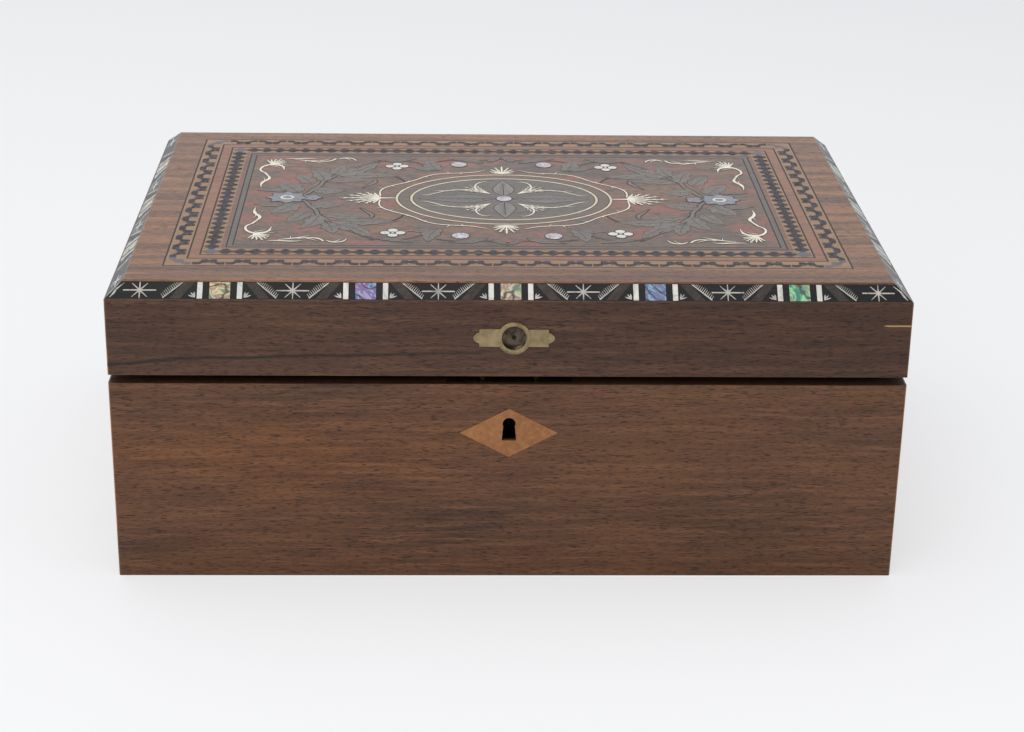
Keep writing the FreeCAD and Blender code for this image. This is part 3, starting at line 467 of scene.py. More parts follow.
# A darker copy of the pearl, painted shade for the front strip, which catches less light and sheen than the
# sides.
shaded_pearl = nacre("shaded_pearl", (112, 106, 98), 0.5, 0.25,
                   (0, (158, 152, 142)), (0.35, (198, 193, 182)), (0.55, (176, 168, 158)),
                   (0.8, (184, 184, 174)), (1, (204, 199, 188)))
tree = abalone.node_tree
cast = ramp(tree, spread(tree, axes(tree)["X"], -0.16, 0.16), (0, (206, 190, 138)), (0.2, (78, 76, 150)),
            (0.4, (206, 184, 148)), (0.6, (14, 98, 152)), (0.8, (90, 176, 120)))
cast.node.color_ramp.interpolation = "CONSTANT"
lay_over(abalone, 0.6, cast, "COLOR")
dress(abalone, "abalone_edge_tiles")
dress(pearl, "pearl_edge_bars")


def draw_lines(bm, strokes, smooth=True, flat=0.08, grow=0.0, lift=0.0):
    """Flat tapering lines of inlay added to a bmesh: each stroke is a row of (x, y, half width) in mm,
    drawn at this height."""
    line = bpy.data.curves.new("line", "CURVE")
    line.dimensions = "3D"
    line.twist_mode = "Z_UP"
    line.bevel_depth = mm
    line.bevel_resolution = 0
    line.use_fill_caps = True
    line.resolution_u = 4
    for stroke in strokes:
        spline = line.splines.new("NURBS" if smooth else "POLY")
        spline.points.add(len(stroke) - 1)
        for knot, (x, y, half) in zip(spline.points, stroke):
            knot.co = (x * mm, y * mm, 0, 1)
            knot.radius = half + grow
        if smooth:
            spline.order_u = 3
            spline.use_endpoint_u = True
    pour(bm, line, Matrix.Translation((0, 0, lift * mm)) @ Matrix.Diagonal((1, 1, flat, 1)))


half_width = 178.0
slope_foot, slope_rise, slope_run = 131.5, 6.9, 8.0
slope_middle = 5.22
strip_half = 4.13
slope = math.atan2(slope_rise, slope_run)


def slope_place(quarter):
    """The plane of one edge strip: X along it, Y up the slope from the strip's middle, Z out."""
    reach = half_width if quarter % 2 else half_depth
    foot = Matrix.Translation((0, -reach * mm, slope_foot * mm))
    return (lid_at_rest @ Matrix.Rotation(quarter * across, 4, "Z") @ foot @ Matrix.Rotation(slope, 4, "X")
            @ Matrix.Translation((0, slope_middle * mm, 0)))


def star(x):
    """An eight-rayed star: blunt level rays and fine ones between."""
    rays = [[(x - 7.2, 0, 0.3), (x - 0.6, 0, 0.36), (x + 0.6, 0, 0.36), (x + 7.2, 0, 0.3)],
            [(x, -strip_half, 0.16), (x, 0, 0.42), (x, strip_half, 0.16)]]
    for way in (-1, 1):
        rays.append([(x - 3.4 * way, -3.4, 0.12), (x, 0, 0.38), (x + 3.4 * way, 3.4, 0.12)])
    return rays


def fern(x, hand):
    """A feathery frond along the outer side of a brown diagonal, with its leaflets up the strip."""
    top, foot, leaflets = 16.2, 24.8, 12
    strokes = [[(x + hand * top, 3.9, 0.16), (x + hand * foot, -3.8, 0.3)]]
    for leaflet in range(leaflets):
        share = (leaflet + 0.5) / leaflets
        root_x, root_y = top + (foot - top) * share, 3.9 - 7.7 * share
        reach = 2.5 - 1.6 * abs(share - 0.55)
        strokes.append([(x + hand * root_x, root_y, 0.19),
                        (x + hand * (root_x + 0.62 * reach), min(root_y + 0.95 * reach, 4.0), 0.07)])
        strokes.append([(x + hand * root_x, root_y, 0.2),
                        (x + hand * (root_x - 0.45), root_y + 0.75, 0.06)])
    return strokes


def sprig(x, hand):
    """Three small leaves that fan from the foot of a pearl bar."""
    root_x, root_y = 10.7, -3.5
    return [[(x + hand * root_x, root_y, 0.16),
             (x + hand * (root_x + 0.6 * out), root_y + 0.6 * rise, 0.36),
             (x + hand * (root_x + out), root_y + rise, 0.08)]
            for out, rise in ((0.5, 2.7), (1.9, 2.4), (3.0, 1.1))]


tile_pitch, corner_star = 63.8, 15.5
for quarter, tiles in ((0, 5), (1, 3), (2, 5), (3, 3)):
    end = half_depth if quarter % 2 else half_width
    tile_places = [(tile - (tiles - 1) / 2) * tile_pitch for tile in range(tiles)]
    star_places = [x + tile_pitch / 2 for x in tile_places[:-1]] + [corner_star - end, end - corner_star]
    strokes = [ray for x in star_places for ray in star(x)]
    for hand in (-1, 1):
        strokes += [stroke for x in tile_places for stroke in fern(x, hand) + sprig(x, hand)]
        strokes.append([(hand * (end - 2.6), -3.7, 0.12), (hand * (end - 4.2), -1.6, 0.45),
                        (hand * (end - 5.4), 0.6, 0.4), (hand * (end - 8.6), 3.6, 0.1)])
    fine = bmesh.new()
    draw_lines(fine, strokes, smooth=False)
    # The front strip takes the darker pearl as painted shade.
    set_piece(f"{('front', 'right', 'back', 'left')[quarter]}_strip_pearl", fine, slope_place(quarter),
              pearl if quarter else shaded_pearl, "pearl")


# Lid top borders and bandings
# A rosewood border, then rings of shop-made banding between ebony strings: a key wave and a chain
# of lozenges in ebony on boxwood, a strip of tulipwood, a kingwood line and a grey frame.

top_colours = ((82, 54, 40), (130, 90, 65), (166, 125, 94), (160, 109, 71))
rosewood_top = wood("rosewood_top", *top_colours, shift=1.3, patches=0.9, bands=0.85, dullness=0.3,
                    gloss=0.32)
polish = {"dullness": 0.3, "gloss": 0.45}
boxwood_band = wood("boxwood_band", (114, 84, 48), (144, 108, 64), (166, 130, 84),
                    (152, 100, 58), pores=0.3, patches=0.7, shift=0.2, **polish)
tulipwood = wood("tulipwood", (102, 56, 38), (134, 80, 54), (158, 108, 76), (146, 94, 54),
                 pores=0.4, patches=0.7, shift=0.5, **polish)
kingwood = wood("kingwood", (84, 44, 34), (110, 64, 48), (130, 84, 62), (120, 80, 60),
                pores=0.3, shift=0.6, **polish)
grey_frame = wood("grey_frame", (62, 55, 48), (84, 75, 66), (102, 92, 82), (88, 78, 68),
                  pores=0.3, shift=0.8, **polish)
saw_black = wood("saw_black", (20, 15, 13), (30, 23, 20), (44, 35, 30), (36, 28, 24),
                 pores=0.2, dullness=0.45, gloss=0.25)
figure_black = wood("figure_black", (58, 52, 53), (76, 69, 72), (98, 90, 90), (92, 84, 104),
                    pores=0.4, patches=0.8, dullness=0.32, gloss=0.45)
dress(rosewood_top, "border_veneers")
dress(saw_black, "string_lines")
dress(boxwood_band, "outer_banding", "inner_banding")
dress(tulipwood, "tulipwood_band")
dress(kingwood, "kingwood_line")
dress(grey_frame, "panel_frame")

field_half_x, field_half_y, field_middle = 155.3, 100.65, 2.75
lid_top = 138.4
top_place = lid_at_rest @ Matrix.Translation((0, field_middle * mm, lid_top * mm))


def line_place(height):
    """The plane of the lid top, at the middle of its field, for lines with their edges at this height."""
    return top_place @ Matrix.Translation((0, 0, height * mm))


def set_inlay(name, bm, proud, *rest):
    """Plates of the marquetry put in the lid top, where they stand this proud of it."""
    set_piece(name, bm, line_place(proud - inlay_depth / 2), *rest)


# Heights in mm above the lid top at which the layers of the marquetry stand, a hair apart.
figure_level, leaf_level = 0.03, 0.04
band_level, ground_level, oval_cut_level, oval_level = 0.02, 0.025, 0.035, 0.05
cut_level, shell_level, heart_level, dot_level = 0.11, 0.13, 0.15, 0.17
spray_cut_level, spray_level = 0.08, 0.11


def whole(bm):
    """All that a bmesh holds, for an operator."""
    return bm.verts[:] + bm.edges[:] + bm.faces[:]


def lay_band(name, repeat, pitch, inset):
    """A figured band round the field: the repeat set along each side and mitred at the corners."""
    ring = bmesh.new()
    for quarter in range(4):
        half = (field_half_y if quarter % 2 else field_half_x) - inset
        reach = (field_half_x if quarter % 2 else field_half_y) - inset
        count = 2 * round(half / pitch) + 1
        side = bmesh.new()
        saw_plates(side, *repeat)
        first = whole(side)
        pace = 2 * half / (count - 1)
        for turn in range(1, count):
            copy = bmesh.ops.duplicate(side, geom=first)["geom"]
            moved = [part for part in copy if isinstance(part, bmesh.types.BMVert)]
            bmesh.ops.translate(side, vec=(turn * pace * mm, 0, 0), verts=moved)
        bmesh.ops.translate(side, vec=(-half * mm, 0, 0), verts=side.verts)
        for end in (-1, 1):
            bmesh.ops.bisect_plane(side, geom=whole(side), plane_co=(end * half * mm, 0, 0),
                                   plane_no=(end, 1, 0), clear_outer=True)
        bmesh.ops.holes_fill(side, edges=[edge for edge in side.edges if edge.is_boundary])
        bmesh.ops.transform(side, matrix=Matrix.Rotation(quarter * across, 4, "Z")
                            @ Matrix.Translation((0, -reach * mm, 0)), verts=side.verts)
        mesh = bpy.data.meshes.new(name)
        side.to_mesh(mesh)
        side.free()
        ring.from_mesh(mesh)
        bpy.data.meshes.remove(mesh)
    set_inlay(name, ring, figure_level, figure_black, "ebony")


half_top = [(1.3, 3.7, True), (3.7, 3.3, True), (3.8, 0.8, False), (4.6, -0.2, False), (7.2, -0.1, True)]
half_foot = [(7.2, -3.3, True), (4.8, -3.4, False), (3.3, -2.4, False), (2.6, -0.9, True), (1.2, -1.2, True)]
key_wave = [(-x, y, sharp) for x, y, sharp in reversed(half_top)] + [(0, 2.4, True), *half_top]
key_wave += [*half_foot, (0, 0.1, True)] + [(-x, y, sharp) for x, y, sharp in reversed(half_foot)]
lay_band("key_wave_banding", [[key_wave]], pitch=14.4, inset=5.3)

tooth = [(-3.375, 1.0, True), (-2.0, 1.8, True), (-1.5, 2.9, True), (0, 3.75, True), (1.5, 2.9, True),
         (2.0, 1.8, True), (3.375, 1.0, True)]
lozenge = tooth + [(-x, -y, sharp) for x, y, sharp in tooth]
lay_band("lozenge_chain_banding", [[lozenge]], pitch=6.75, inset=19.8)

panel_half_x, panel_half_y = 126.2, 71.55
frame_lines = bmesh.new()
for out in (0.1, 2.9):
    for hand in (-1, 1):
        x, y = panel_half_x + out, panel_half_y + out
        draw_lines(frame_lines, [[(hand * x, -y, 0.32), (hand * x, y, 0.32)],
                                 [(-x, hand * y, 0.32), (x, hand * y, 0.32)]], smooth=False)
set_piece("frame_edge_lines", frame_lines, line_place(0.0), saw_black, "ebony")


# Centre panel
# One sheet of figured wood, mottled brown with red and orange flecks, glued down as the ground of the
# marquetry and scraped level with it.

mottle, tree, surface, place = new_finish("mottled_panel")
flow = stretched(tree, place, 0.6, 1.0, 1.0)
drift = noise(tree, flow, 40, 4, roughness=0.6, distortion=0.8)
blush = noise(tree, flow, 75, 3, distortion=0.5)
speck = noise(tree, flow, 420, 4)
ground = ramp(tree, drift, (0.32, (74, 59, 51)), (0.46, (92, 70, 57)), (0.56, (104, 72, 55)),
              (0.64, (126, 84, 52)), (0.76, (98, 72, 58)))
ground = mixed(tree, spread(tree, blush, 0.53, 0.6, 0, 0.65), ground, (140, 72, 58))
ground = mixed(tree, spread(tree, speck, 0.5, 0.72, 0, 0.45), ground, (58, 44, 38))
relief = put(tree, "Bump", {"Height": speck, "Strength": 0.1, "Distance": 0.0002})
feed(tree, surface, {"Base Color": ground, "Roughness": spread(tree, speck, 0.3, 0.7, 0.26, 0.4),
                     "Normal": relief.outputs[0], "Specular IOR Level": polish["gloss"]})

panel = bmesh.new()
panel_size = (2 * panel_half_x * mm, 2 * panel_half_y * mm, 2 * inlay_depth * mm, 1)
bmesh.ops.create_cube(panel, size=1, matrix=Matrix.Diagonal(panel_size))
bmesh.ops.bevel(panel, geom=panel.edges[:], offset=0.12 * mm, segments=1, profile=0.5, affect="EDGES",
                material=-1)
set_inlay("panel_sheet", panel, -inlay_depth / 2, mottle, "panel_wood", "centre_panel")


# Scroll foliage
# Leaves and stems of dyed wood that spring from the two blossoms and fill the ends of the panel,
# sawn with a fret saw, its cut filled with dark glue, each leaf with a scratched middle vein.

foliage_wood = wood("foliage_wood", (84, 75, 69), (104, 94, 87), (126, 115, 107), (102, 94, 88),
                    turn=0.6, pores=0.3, patches=0.7, **polish)
vein_brown = wood("vein_brown", (48, 42, 38), (60, 53, 48), (72, 64, 58), (64, 58, 52),
                  pores=0.2, dullness=0.4, gloss=0.35)


def leaf_point(row, share, off):
    """A point of a leaf, this share of the way to its tip and this share of its half width off the middle.
    The row gives root, tip, half width and how far the leaf bows to its left."""
    root_x, root_y, tip_x, tip_y, half, bend = row[:6]
    root, tip = Vector((root_x, root_y)), Vector((tip_x, tip_y))
    side = (tip - root).normalized().orthogonal()
    swell = math.sin(math.pi * share ** 0.75)
    return root.lerp(tip, share) + side * (bend * math.sin(math.pi * share) + off * half * swell)


def acanthus(row, grow=0.0):
    """The outline of one scrolling leaf, with as many round lobes down each side as the row ends with."""
    half, lobes = row[4], row[6]
    flanks = []
    for hand in (1, -1):
        flank = []
        for lobe in range(lobes):
            crest = leaf_point(row, (lobe + 0.62) / (lobes + 0.4), hand * (1 + grow / half))
            notch = leaf_point(row, (lobe + 1.0) / (lobes + 0.4), hand * (0.72 + grow / half))
            flank += [(*crest, False), (*notch, True)]
        flanks.append(flank)
    root, tip = leaf_point(row, 0, 0), leaf_point(row, 1, 0)
    stretch = (tip - root).normalized() * grow
    return [[(*(root - stretch), True), *flanks[0], (*(tip + 2 * stretch), True), *reversed(flanks[1])]]


def leaf_veins(row):
    """The scratched lines of the same leaf: down its middle and out to each lobe."""
    lobes = row[6]
    taper = ((0, 0.3), (0.35, 0.24), (0.7, 0.18), (0.92, 0.08))
    strokes = [[(*leaf_point(row, share, 0), half) for share, half in taper]]
    for lobe in range(lobes):
        for hand in (1, -1):
            strokes.append([(*leaf_point(row, (lobe + 0.3) / (lobes + 0.5), 0), 0.18),
                            (*leaf_point(row, (lobe + 0.66) / (lobes + 0.5), hand * 0.7), 0.06)])
    return strokes


def four_ways(*meshes):
    """One quarter of the ornament, mirrored to the other three."""
    for bm in meshes:
        for axis in "XY":
            bmesh.ops.mirror(bm, geom=whole(bm), matrix=Matrix.Identity(4), merge_dist=-1.0, axis=axis)


quarter_leaves = (
    (-101, -8, -112, -25, 6.4, 1, 3), (-95, -22, -104, -39, 4.8, 0.5, 2), (-89, -27, -97, -48, 5.2, 2, 3),
    (-94, -13, -78, -11, 5.8, 1, 3), (-88, -26, -63, -29, 4.2, -2, 4), (-81, -35, -52, -36, 5, -2, 5),
    (-84, -37, -65, -50, 6, -1, 4), (-85, -38, -81, -55, 4.6, 0.5, 3), (-73, -45, -63, -60, 3.8, 0.5, 3),
    (-32, -46, -37, -66, 4.8, -1.5, 3), (-34, -47, -46, -51, 3, 0.5, 2), (-107, -11, -121, -11, 3, 1, 2),
    (-9, -60, -27, -67, 2.8, 1.5, 3), (-7, -62, 0, -70, 2, 0, 2), (-60, -62, -44, -67, 2.4, 1, 3))
stems = [[(-103, 0, 1), (-96.5, -5, 1.2), (-94.5, -13, 1.3), (-90.5, -20, 1.3), (-90, -27.3, 1.2),
          (-84.6, -35, 1.1), (-79.6, -44.7, 0.9), (-70, -54, 0.7), (-62, -64, 0.4)],
         [(-70.2, -15.5, 0.2), (-66.3, -21.5, 1.3), (-63, -27.3, 1.4), (-64.4, -31.2, 0.5)],
         [(-55, -36, 0.4), (-50.8, -33, 0.4), (-48.6, -26, 0.15)],
         [(-66, -60, 0.5), (-56, -65, 0.7), (-44, -61, 0.6), (-38, -54, 0.6), (-33, -47, 0.4)],
         [(-33, -62, 0.4), (-22, -66.5, 0.7), (-10, -63, 0.6), (0, -67, 0.4)]]
cuts, leaves, veins = bmesh.new(), bmesh.new(), bmesh.new()
draw_lines(cuts, stems, flat=0.015, grow=0.25, lift=inlay_depth / 2)
draw_lines(leaves, stems, flat=0.02, lift=inlay_depth / 2)
overlap = 0.004
for turn, row in enumerate(quarter_leaves):
    saw_plates(cuts, acanthus(row, grow=0.32), lift=turn * overlap)
    saw_plates(leaves, acanthus(row), lift=turn * overlap)
    draw_lines(veins, leaf_veins(row), flat=0.06, lift=turn * overlap)
four_ways(cuts, leaves, veins)
set_inlay("foliage_saw_cuts", cuts, leaf_level - overlap / 2, saw_black, "ebony")
set_inlay("marquetry_foliage", leaves, leaf_level, foliage_wood, "ebony", "scroll_foliage")
set_piece("foliage_veins", veins, line_place(leaf_level), vein_brown, "ebony")


# Blossoms
# A lobed flower of bluish shell at each end of the panel, sawn from thin plate and glued in flush, with
# a ring of white pearl at its heart.

blossom_x = 106.0


def lobed(middle_x, middle_y, half_x, half_y, lobes, dip=1.0):
    """A round outline with this many lobes, dipping between them to a share of its size."""
    row = []
    for turn in range(2 * lobes):
        swing = math.pi * turn / lobes
        out = 1.0 if turn % 2 == 0 else dip
        row.append((middle_x + half_x * out * math.cos(swing),
                    middle_y + half_y * out * math.sin(swing), False))
    return row


blue_shell = nacre("blue_shell", (54, 58, 72), 0.6, 0.2,
                   (0.1, (70, 84, 122)), (0.35, (102, 106, 118)), (0.55, (86, 88, 92)),
                   (0.75, (126, 128, 158)), (0.95, (96, 112, 116)))
cuts, blossoms, hearts = bmesh.new(), bmesh.new(), bmesh.new()
for hand in (-1, 1):
    x = hand * blossom_x
    saw_plates(cuts, [lobed(x, 0, 10.5, 9.2, 8, 0.8)], [lobed(x - hand * 12, 0, 5.4, 5.2, 5, 0.8)])
    saw_plates(blossoms, [lobed(x, 0, 10, 8.7, 8, 0.78)], [lobed(x - hand * 12, 0, 4.8, 4.6, 5, 0.78)])
    saw_plates(hearts, [lobed(x, 0, 3.4, 3.2, 6), lobed(x, 0, 2.2, 2.0, 6)])
set_inlay("blossom_saw_cuts", cuts, cut_level, saw_black, "ebony")
set_inlay("shell_blossoms", blossoms, shell_level, blue_shell, "abalone", "abalone_flowers")
set_inlay("pearl_hearts", hearts, heart_level, pearl, "pearl", "pearl_rings")


# Pearl flowers and shell ovals
# Four-petalled flowers of white pearl with a dark eye, and small ovals of coloured shell between
# the scrolls.

flower_x, flower_y, petal_out, petal_half = 53.4, 53.3, 3.55, 2.3
cuts, petals, eyes, dots = bmesh.new(), bmesh.new(), bmesh.new(), bmesh.new()
for step_x, step_y in ((1, 0), (0, 1), (-1, 0), (0, -1)):
    x, y = -flower_x + step_x * petal_out, -flower_y + step_y * petal_out
    saw_plates(cuts, [lobed(x, y, petal_half + 0.45, petal_half + 0.45, 5)])
    saw_plates(petals, [lobed(x, y, petal_half, petal_half, 5)])
saw_plates(eyes, [lobed(-flower_x, -flower_y, 1.5, 1.5, 5)])
saw_plates(dots, [lobed(-flower_x, -flower_y, 0.75, 0.75, 4)])
four_ways(cuts, petals, eyes, dots)
set_inlay("flower_saw_cuts", cuts, cut_level, saw_black, "ebony")
set_inlay("white_flowers", petals, shell_level, pearl, "pearl", "pearl_flowers")
set_inlay("flower_eyes", eyes, heart_level, saw_black, "ebony")
set_inlay("flower_dots", dots, dot_level, pearl, "pearl")

lilac_shell = nacre("lilac_shell", (80, 84, 110), 0.5, 0.18,
                    (0.1, (96, 112, 150)), (0.3, (142, 140, 176)), (0.5, (206, 206, 208)),
                    (0.65, (164, 140, 168)), (0.8, (196, 186, 160)), (0.95, (110, 140, 160)))
cuts, ovals = bmesh.new(), bmesh.new()
saw_plates(cuts, [lobed(-21.8, -57, 4.4, 4.6, 6)])
saw_plates(ovals, [lobed(-21.8, -57, 4.0, 4.2, 6)])
four_ways(cuts, ovals)
saw_plates(cuts, [lobed(0, 0, 4.2, 4.4, 6)])
saw_plates(ovals, [lobed(0, 0, 3.7, 3.9, 6)])
set_inlay("oval_saw_cuts", cuts, cut_level, saw_black, "ebony")
set_inlay("shell_ovals", ovals, shell_level, lilac_shell, "abalone", "abalone_ovals")


# Centre oval
# Two pale strings with a brown band between them round a grey ground, and four pointed leaves
# crossed in the middle, their veins scratched and filled.

def leaf(root_x, root_y, tip_x, tip_y, half, grow=0.0):
    """The outline of one plain pointed leaf from root to tip, of this half width."""
    root, tip = Vector((root_x, root_y)), Vector((tip_x, tip_y))
    along = (tip - root).normalized()
    side = along.orthogonal()
    low, high = root.lerp(tip, 0.38), root.lerp(tip, 0.7)
    wide, narrow = side * (half + grow), side * (half * 0.62 + grow)
    return [[(*(root - along * grow), True), (*(low + wide), False), (*(high + narrow), False),
             (*(tip + along * 2 * grow), True), (*(high - narrow), False), (*(low - wide), False)]]


def ring_rows(half_x, half_y, width):
    """The outline and the hole of an oval ring."""
    return [lobed(0, 0, half_x, half_y, 16), lobed(0, 0, half_x - width, half_y - width, 16)]


band_brown = wood("band_brown", (76, 60, 50), (96, 77, 65), (114, 92, 78), (104, 74, 58),
                  pores=0.4, shift=0.9, **polish)
ground_grey = wood("ground_grey", (70, 62, 55), (91, 81, 72), (107, 96, 86), (90, 82, 74),
                   pores=0.4, shift=0.3, **polish)
leaf_grey = wood("leaf_grey", (82, 78, 73), (102, 97, 91), (121, 115, 108), (108, 103, 97),
                 pores=0.3, **polish)
leaf_pale = wood("leaf_pale", (98, 94, 89), (122, 117, 111), (144, 138, 131), (128, 123, 117),
                 turn=across, pores=0.3, **polish)
cream = wood("cream_string", (190, 174, 142), (214, 202, 174), (230, 222, 200), (220, 206, 178),
             pores=0.15, patches=0.3, bands=0.1, **polish)
cuts, strings = bmesh.new(), bmesh.new()
saw_plates(cuts, ring_rows(53.5, 40.4, 2.0), ring_rows(46.4, 33.8, 2.0))
saw_plates(strings, ring_rows(53.1, 40, 1.2), ring_rows(46, 33.4, 1.2))
band, dark_ground = bmesh.new(), bmesh.new()
saw_plates(band, ring_rows(52.6, 39.5, 7))
saw_plates(dark_ground, [lobed(0, 0, 45.6, 33, 16)])
set_inlay("oval_brown_band", band, band_level, band_brown, "ebony", "oval_band")
set_inlay("oval_grey_ground", dark_ground, ground_level, ground_grey, "ebony", "oval_ground")
set_inlay("oval_string_cuts", cuts, oval_cut_level, saw_black, "ebony")
set_inlay("oval_pale_strings", strings, oval_level, cream, "boxwood", "oval_strings")
long_leaves = [(hand * 4, 0, hand * 41.5, 0, 6.6) for hand in (-1, 1)]
short_leaves = [(0, hand * 4, 0, hand * 30, 5.2) for hand in (-1, 1)]
cuts, cross, stubs, scratches = bmesh.new(), bmesh.new(), bmesh.new(), bmesh.new()
saw_plates(cuts, *(leaf(*row, grow=0.45) for row in long_leaves + short_leaves))
saw_plates(cross, *(leaf(*row) for row in long_leaves))
saw_plates(stubs, *(leaf(*row) for row in short_leaves))
ribs = []
for hand in (-1, 1):
    ribs += [[(hand * 5, 0, 0.25), (hand * 38, 0, 0.08)], [(0, hand * 5, 0.25), (0, hand * 27, 0.08)]]
    for lean in (-1, 1):
        for out in range(7, 24, 2):
            ribs.append([(0, hand * out, 0.16), (lean * 3.6 * (1 - out / 34), hand * (out + 3.2), 0.05)])
        for out in range(9, 34, 4):
            ribs.append([(hand * out, 0, 0.16), (hand * (out + 4), lean * 4.2 * (1 - out / 46), 0.05)])
draw_lines(scratches, ribs, flat=0.06)
set_inlay("crossed_leaf_cuts", cuts, oval_cut_level, saw_black, "ebony")
set_inlay("crossed_leaves", cross, oval_level, leaf_grey, "grey_wood", "oval_leaves")
set_inlay("crossed_short_leaves", stubs, oval_level, leaf_pale, "grey_wood")
set_piece("crossed_leaf_veins", scratches, line_place(oval_level), saw_black, "ebony")


# Pale sprays
# Feathery scrolls of pale wood and pearl: palmettes at the oval's four points, a thorny line round
# it, sprays inside it and a leafy scroll in each corner of the panel.

def plume(x, y, aim, long, short, fan, fingers, half=0.8):
    """Feathery fingers that fan from one root, the longest along the aim, the others curled to the sides."""
    strokes = []
    root = Vector((x, y))
    for finger in range(-fingers, fingers + 1):
        share = finger / fingers
        swing = math.radians(aim + share * fan)
        out = Vector((math.cos(swing), math.sin(swing)))
        reach = long + (short - long) * abs(share)
        tip = root + out * reach + out.orthogonal() * 0.16 * reach * share
        strokes.append([(*root, half * 0.4), (*(root + out * reach * 0.55), half), (*tip, 0.08)])
        for start in (0.42, 0.6, 0.78):
            for hand in (-1, 1):
                barb = root.lerp(tip, start)
                end = barb + (out + out.orthogonal() * hand * 0.7) * reach * 0.13
                strokes.append([(*barb, half * 0.35), (*end, 0.05)])
    return strokes


quarter_strokes = [
    [(-60.5, -3, 0.4), (-61.5, -9, 0.4), (-59.5, -16, 0.42), (-54.5, -21, 0.42), (-47.8, -25.8, 0.42),
     (-43, -30.4, 0.42), (-39, -35.8, 0.42), (-33.7, -39.8, 0.42), (-27, -41.6, 0.42),
     (-20.3, -42, 0.42), (-12.8, -43.8, 0.4), (-8.5, -47, 0.15)],
    [(-55.4, -20.4, 0.3), (-53.8, -17.4, 0.08)], [(-47.8, -25.8, 0.3), (-46.4, -29, 0.08)],
    [(-39, -35.4, 0.3), (-36.6, -33.6, 0.08)], [(-27, -41.8, 0.3), (-28.4, -45.2, 0.08)],
    [(-20.3, -42.1, 0.3), (-21.6, -39.4, 0.08)], [(-59.6, -15, 0.3), (-62.6, -17, 0.08)],
    [(-119.9, -16, 0.1), (-121.4, -23.4, 0.7), (-116.2, -30.3, 0.9), (-118.3, -36.6, 0.35),
     (-119.9, -40.8, 0.6)],
    [(-120.6, -20.4, 0.25), (-117.8, -26, 0.3), (-120, -33, 0.08)],
    [(-119.9, -40.8, 0.45), (-122.8, -43.4, 0.5), (-122.4, -50.4, 0.6), (-118.6, -55, 0.9),
     (-114.2, -54.6, 0.9), (-110.6, -51, 0.6), (-110.6, -45.2, 0.1)],
    [(-118, -52.6, 0.35), (-114.6, -51.8, 0.3), (-112.4, -48.6, 0.06)],
    [(-117, -54, 0.35), (-111.6, -53.2, 0.3), (-108.4, -49.6, 0.06)],
    [(-116, -55, 0.35), (-110.4, -55.2, 0.3), (-107, -52.6, 0.06)],
    [(-110.8, -65.8, 0.2), (-105.3, -65.2, 0.7), (-99, -66.6, 0.6), (-94.6, -65.4, 0.1)],
    [(-106.4, -64, 0.25), (-100.8, -62.6, 0.6), (-95.6, -60.4, 0.5), (-91.4, -57.6, 0.1)],
    [(-100.4, -61.6, 0.25), (-100.8, -58.4, 0.08)], [(-97.4, -61, 0.25), (-95.6, -63.8, 0.08)],
    [(-97.8, -62, 0.35), (-90.8, -60.6, 0.6), (-86.4, -62.6, 0.55), (-85.2, -65.8, 0.55)],
    [(-94, -61.2, 0.3), (-89.6, -63.6, 0.35), (-87.8, -66, 0.06)],
    [(-83.8, -64.6, 0.2), (-82.6, -66.4, 0.5), (-79.5, -67.6, 0.6), (-75.2, -65.8, 0.5),
     (-74.6, -62, 0.1)],
    [(-80.5, -66.8, 0.3), (-77.6, -64.4, 0.3), (-77.6, -62.2, 0.06)],
    [(-12.6, -13, 0.4), (-21.3, -14.4, 0.45), (-29, -12.3, 0.4), (-33.8, -7.9, 0.4),
     (-38.8, -4.4, 0.35), (-41.6, -5.6, 0.08)],
    [(-29.7, -12.1, 0.3), (-33, -13.2, 0.25), (-35.4, -11.6, 0.06)],
    [(-24, -14.2, 0.25), (-25.8, -11.4, 0.06)],
    [(-13.4, -14.4, 0.35), (-14.6, -19.6, 0.4), (-12.4, -25.6, 0.4), (-8.8, -28, 0.35),
     (-7, -26.6, 0.08)],
]
quarter_strokes += plume(-117.6, -54.6, -66, 12.0, 8.5, 34, 3, half=0.6)
quarter_strokes += plume(-6.6, -7.8, -139, 18.5, 15.5, 13, 2, half=0.4)
palmettes = []
for hand, aim in ((-1, 180), (1, 0)):
    palmettes.append([(hand * 53, 0, 0.4), (hand * 57, 0, 0.7), (hand * 61, 0, 0.9)])
    palmettes += plume(hand * 60, 0, aim, 21.5, 9.5, 56, 4, half=0.85)
    palmettes += plume(0, hand * 41.2, hand * 90, 13.5, 6.0, 66, 4, half=0.7)
pale = wood("pale_sprays", (222, 210, 184), (238, 230, 212), (246, 242, 230), (236, 224, 200),
            pores=0.1, patches=0.4, bands=0.1, dullness=0.28, gloss=0.45)
cuts, sprays = bmesh.new(), bmesh.new()
draw_lines(cuts, quarter_strokes, flat=0.03, grow=0.28)
draw_lines(sprays, quarter_strokes)
four_ways(cuts, sprays)
draw_lines(cuts, palmettes, flat=0.03, grow=0.28)
draw_lines(sprays, palmettes)
set_piece("spray_saw_cuts", cuts, line_place(spray_cut_level), saw_black, "ebony")
set_piece("pale_sprays", sprays, line_place(spray_level), pale, "boxwood")


# Hinges
# Two brass stop hinges let into the back edges of base and lid and screwed, with steel pins through
# their knuckles and heels that meet to hold the lid open.

dress(old_brass, "left_hinge_lower_leaf", "left_hinge_upper_leaf", "right_hinge_lower_leaf",
      "right_hinge_upper_leaf")
dress(old_steel, "hinge_pins")


# Studio
# A pale sweep of paper under two soft lamps, seen from a little above the front of the box. To the
# camera the paper glows a little, and keeps the shadow.

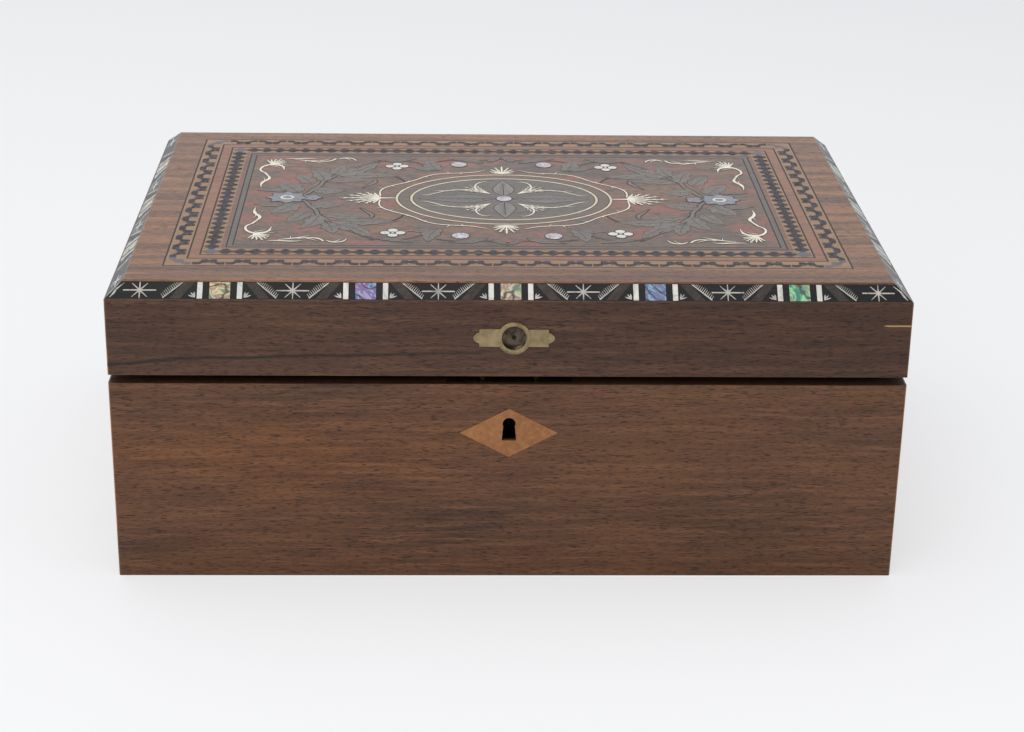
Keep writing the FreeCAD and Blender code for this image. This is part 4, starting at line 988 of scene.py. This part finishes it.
floor_mesh = bmesh.new()
bmesh.ops.create_grid(floor_mesh, x_segments=1, y_segments=1, size=9.0)
mesh = bpy.data.meshes.new("studio_floor")
floor_mesh.to_mesh(mesh)
floor_mesh.free()
floor = bpy.data.objects.new("studio_floor", mesh)
scene.collection.objects.link(floor)
paper, tree, surface, place = new_finish("studio_paper")
feed(tree, surface, {"Base Color": shade(243, 244, 246), "Roughness": 0.9, "Specular IOR Level": 0.1})
ways = axes(tree)
# Painted light: the paper's glow to the camera is brighter towards the front left and dimmer to the back and
# right, as if lit from the left.
falloff_place = reckon(tree, "MULTIPLY_ADD", ways["X"], 0.25, ways["Y"])
painted_falloff = ramp(tree, spread(tree, falloff_place, -0.2, 1.1), (0, (254, 254, 255)), (1, (230, 232, 234)))
glow = put(tree, "Emission", {"Color": painted_falloff})
seen = reckon(tree, "MULTIPLY", put(tree, "LightPath").outputs["Is Camera Ray"], 0.58)
lit = put(tree, "MixShader", {0: seen, 1: surface.outputs[0], 2: glow.outputs[0]})
feed(tree, tree.nodes["Material Output"], {"Surface": lit.outputs[0]})
mesh.materials.append(paper)


def lamp(name, size, power, place, aim):
    """A soft square lamp that faces a point."""
    light = bpy.data.lights.new(name, "AREA")
    light.size = size
    light.energy = power
    made = bpy.data.objects.new(name, light)
    made.location = place
    made.rotation_euler = (Vector(aim) - Vector(place)).to_track_quat("-Z", "Y").to_euler()
    scene.collection.objects.link(made)


lamp("overhead_lamp", 3.0, 26, (-0.4, 0.3, 2.4), (0, 0, 0))
lamp("front_lamp", 2.2, 20, (-1.2, -2.4, 1.6), (0, 0, 0.05))

world = bpy.data.worlds.new("studio_world")
scene.world = world
world.use_nodes = True
tree = world.node_tree
light_path = put(tree, "LightPath")
looking = put(tree, "TexCoord").outputs["Generated"]
backward = put(tree, "SeparateXYZ", {"Vector": looking}).outputs["Y"]
soft_light, bright_back, dim_front = 0.62, 0.95, 0.12
mirrored = spread(tree, backward, -0.3, 0.5, dim_front, bright_back)
mirror = light_path.outputs["Is Glossy Ray"]
seen = reckon(tree, "MAXIMUM", light_path.outputs["Is Camera Ray"],
              light_path.outputs["Is Transmission Ray"])
strength = put(tree, "Mix", {0: mirror, 2: soft_light, 3: mirrored}).outputs[0]
strength = put(tree, "Mix", {0: seen, 2: strength, 3: bright_back}).outputs[0]
feed(tree, tree.nodes["Background"], {"Color": shade(250, 251, 253), "Strength": strength})

view = bpy.data.cameras.new("studio_camera")
view.lens = 77.87
view.sensor_width = 36.0
camera = bpy.data.objects.new("studio_camera", view)
scene.collection.objects.link(camera)
scene.camera = camera
yaw, pitch, roll = 0.0351, 0.3993, 0.0172
forward = Vector((math.sin(yaw) * math.cos(pitch), math.cos(yaw) * math.cos(pitch), -math.sin(pitch)))
level = Vector((math.cos(yaw), -math.sin(yaw), 0))
upward = level.cross(forward)
right = math.cos(roll) * level + math.sin(roll) * upward
top = math.cos(roll) * upward - math.sin(roll) * level
camera_place = (-0.03093, -1.02888, 0.48706)
facing = Matrix((right, top, -forward)).transposed().to_4x4()
camera.matrix_world = Matrix.Translation(camera_place) @ facing
scene.view_settings.view_transform = "Standard"
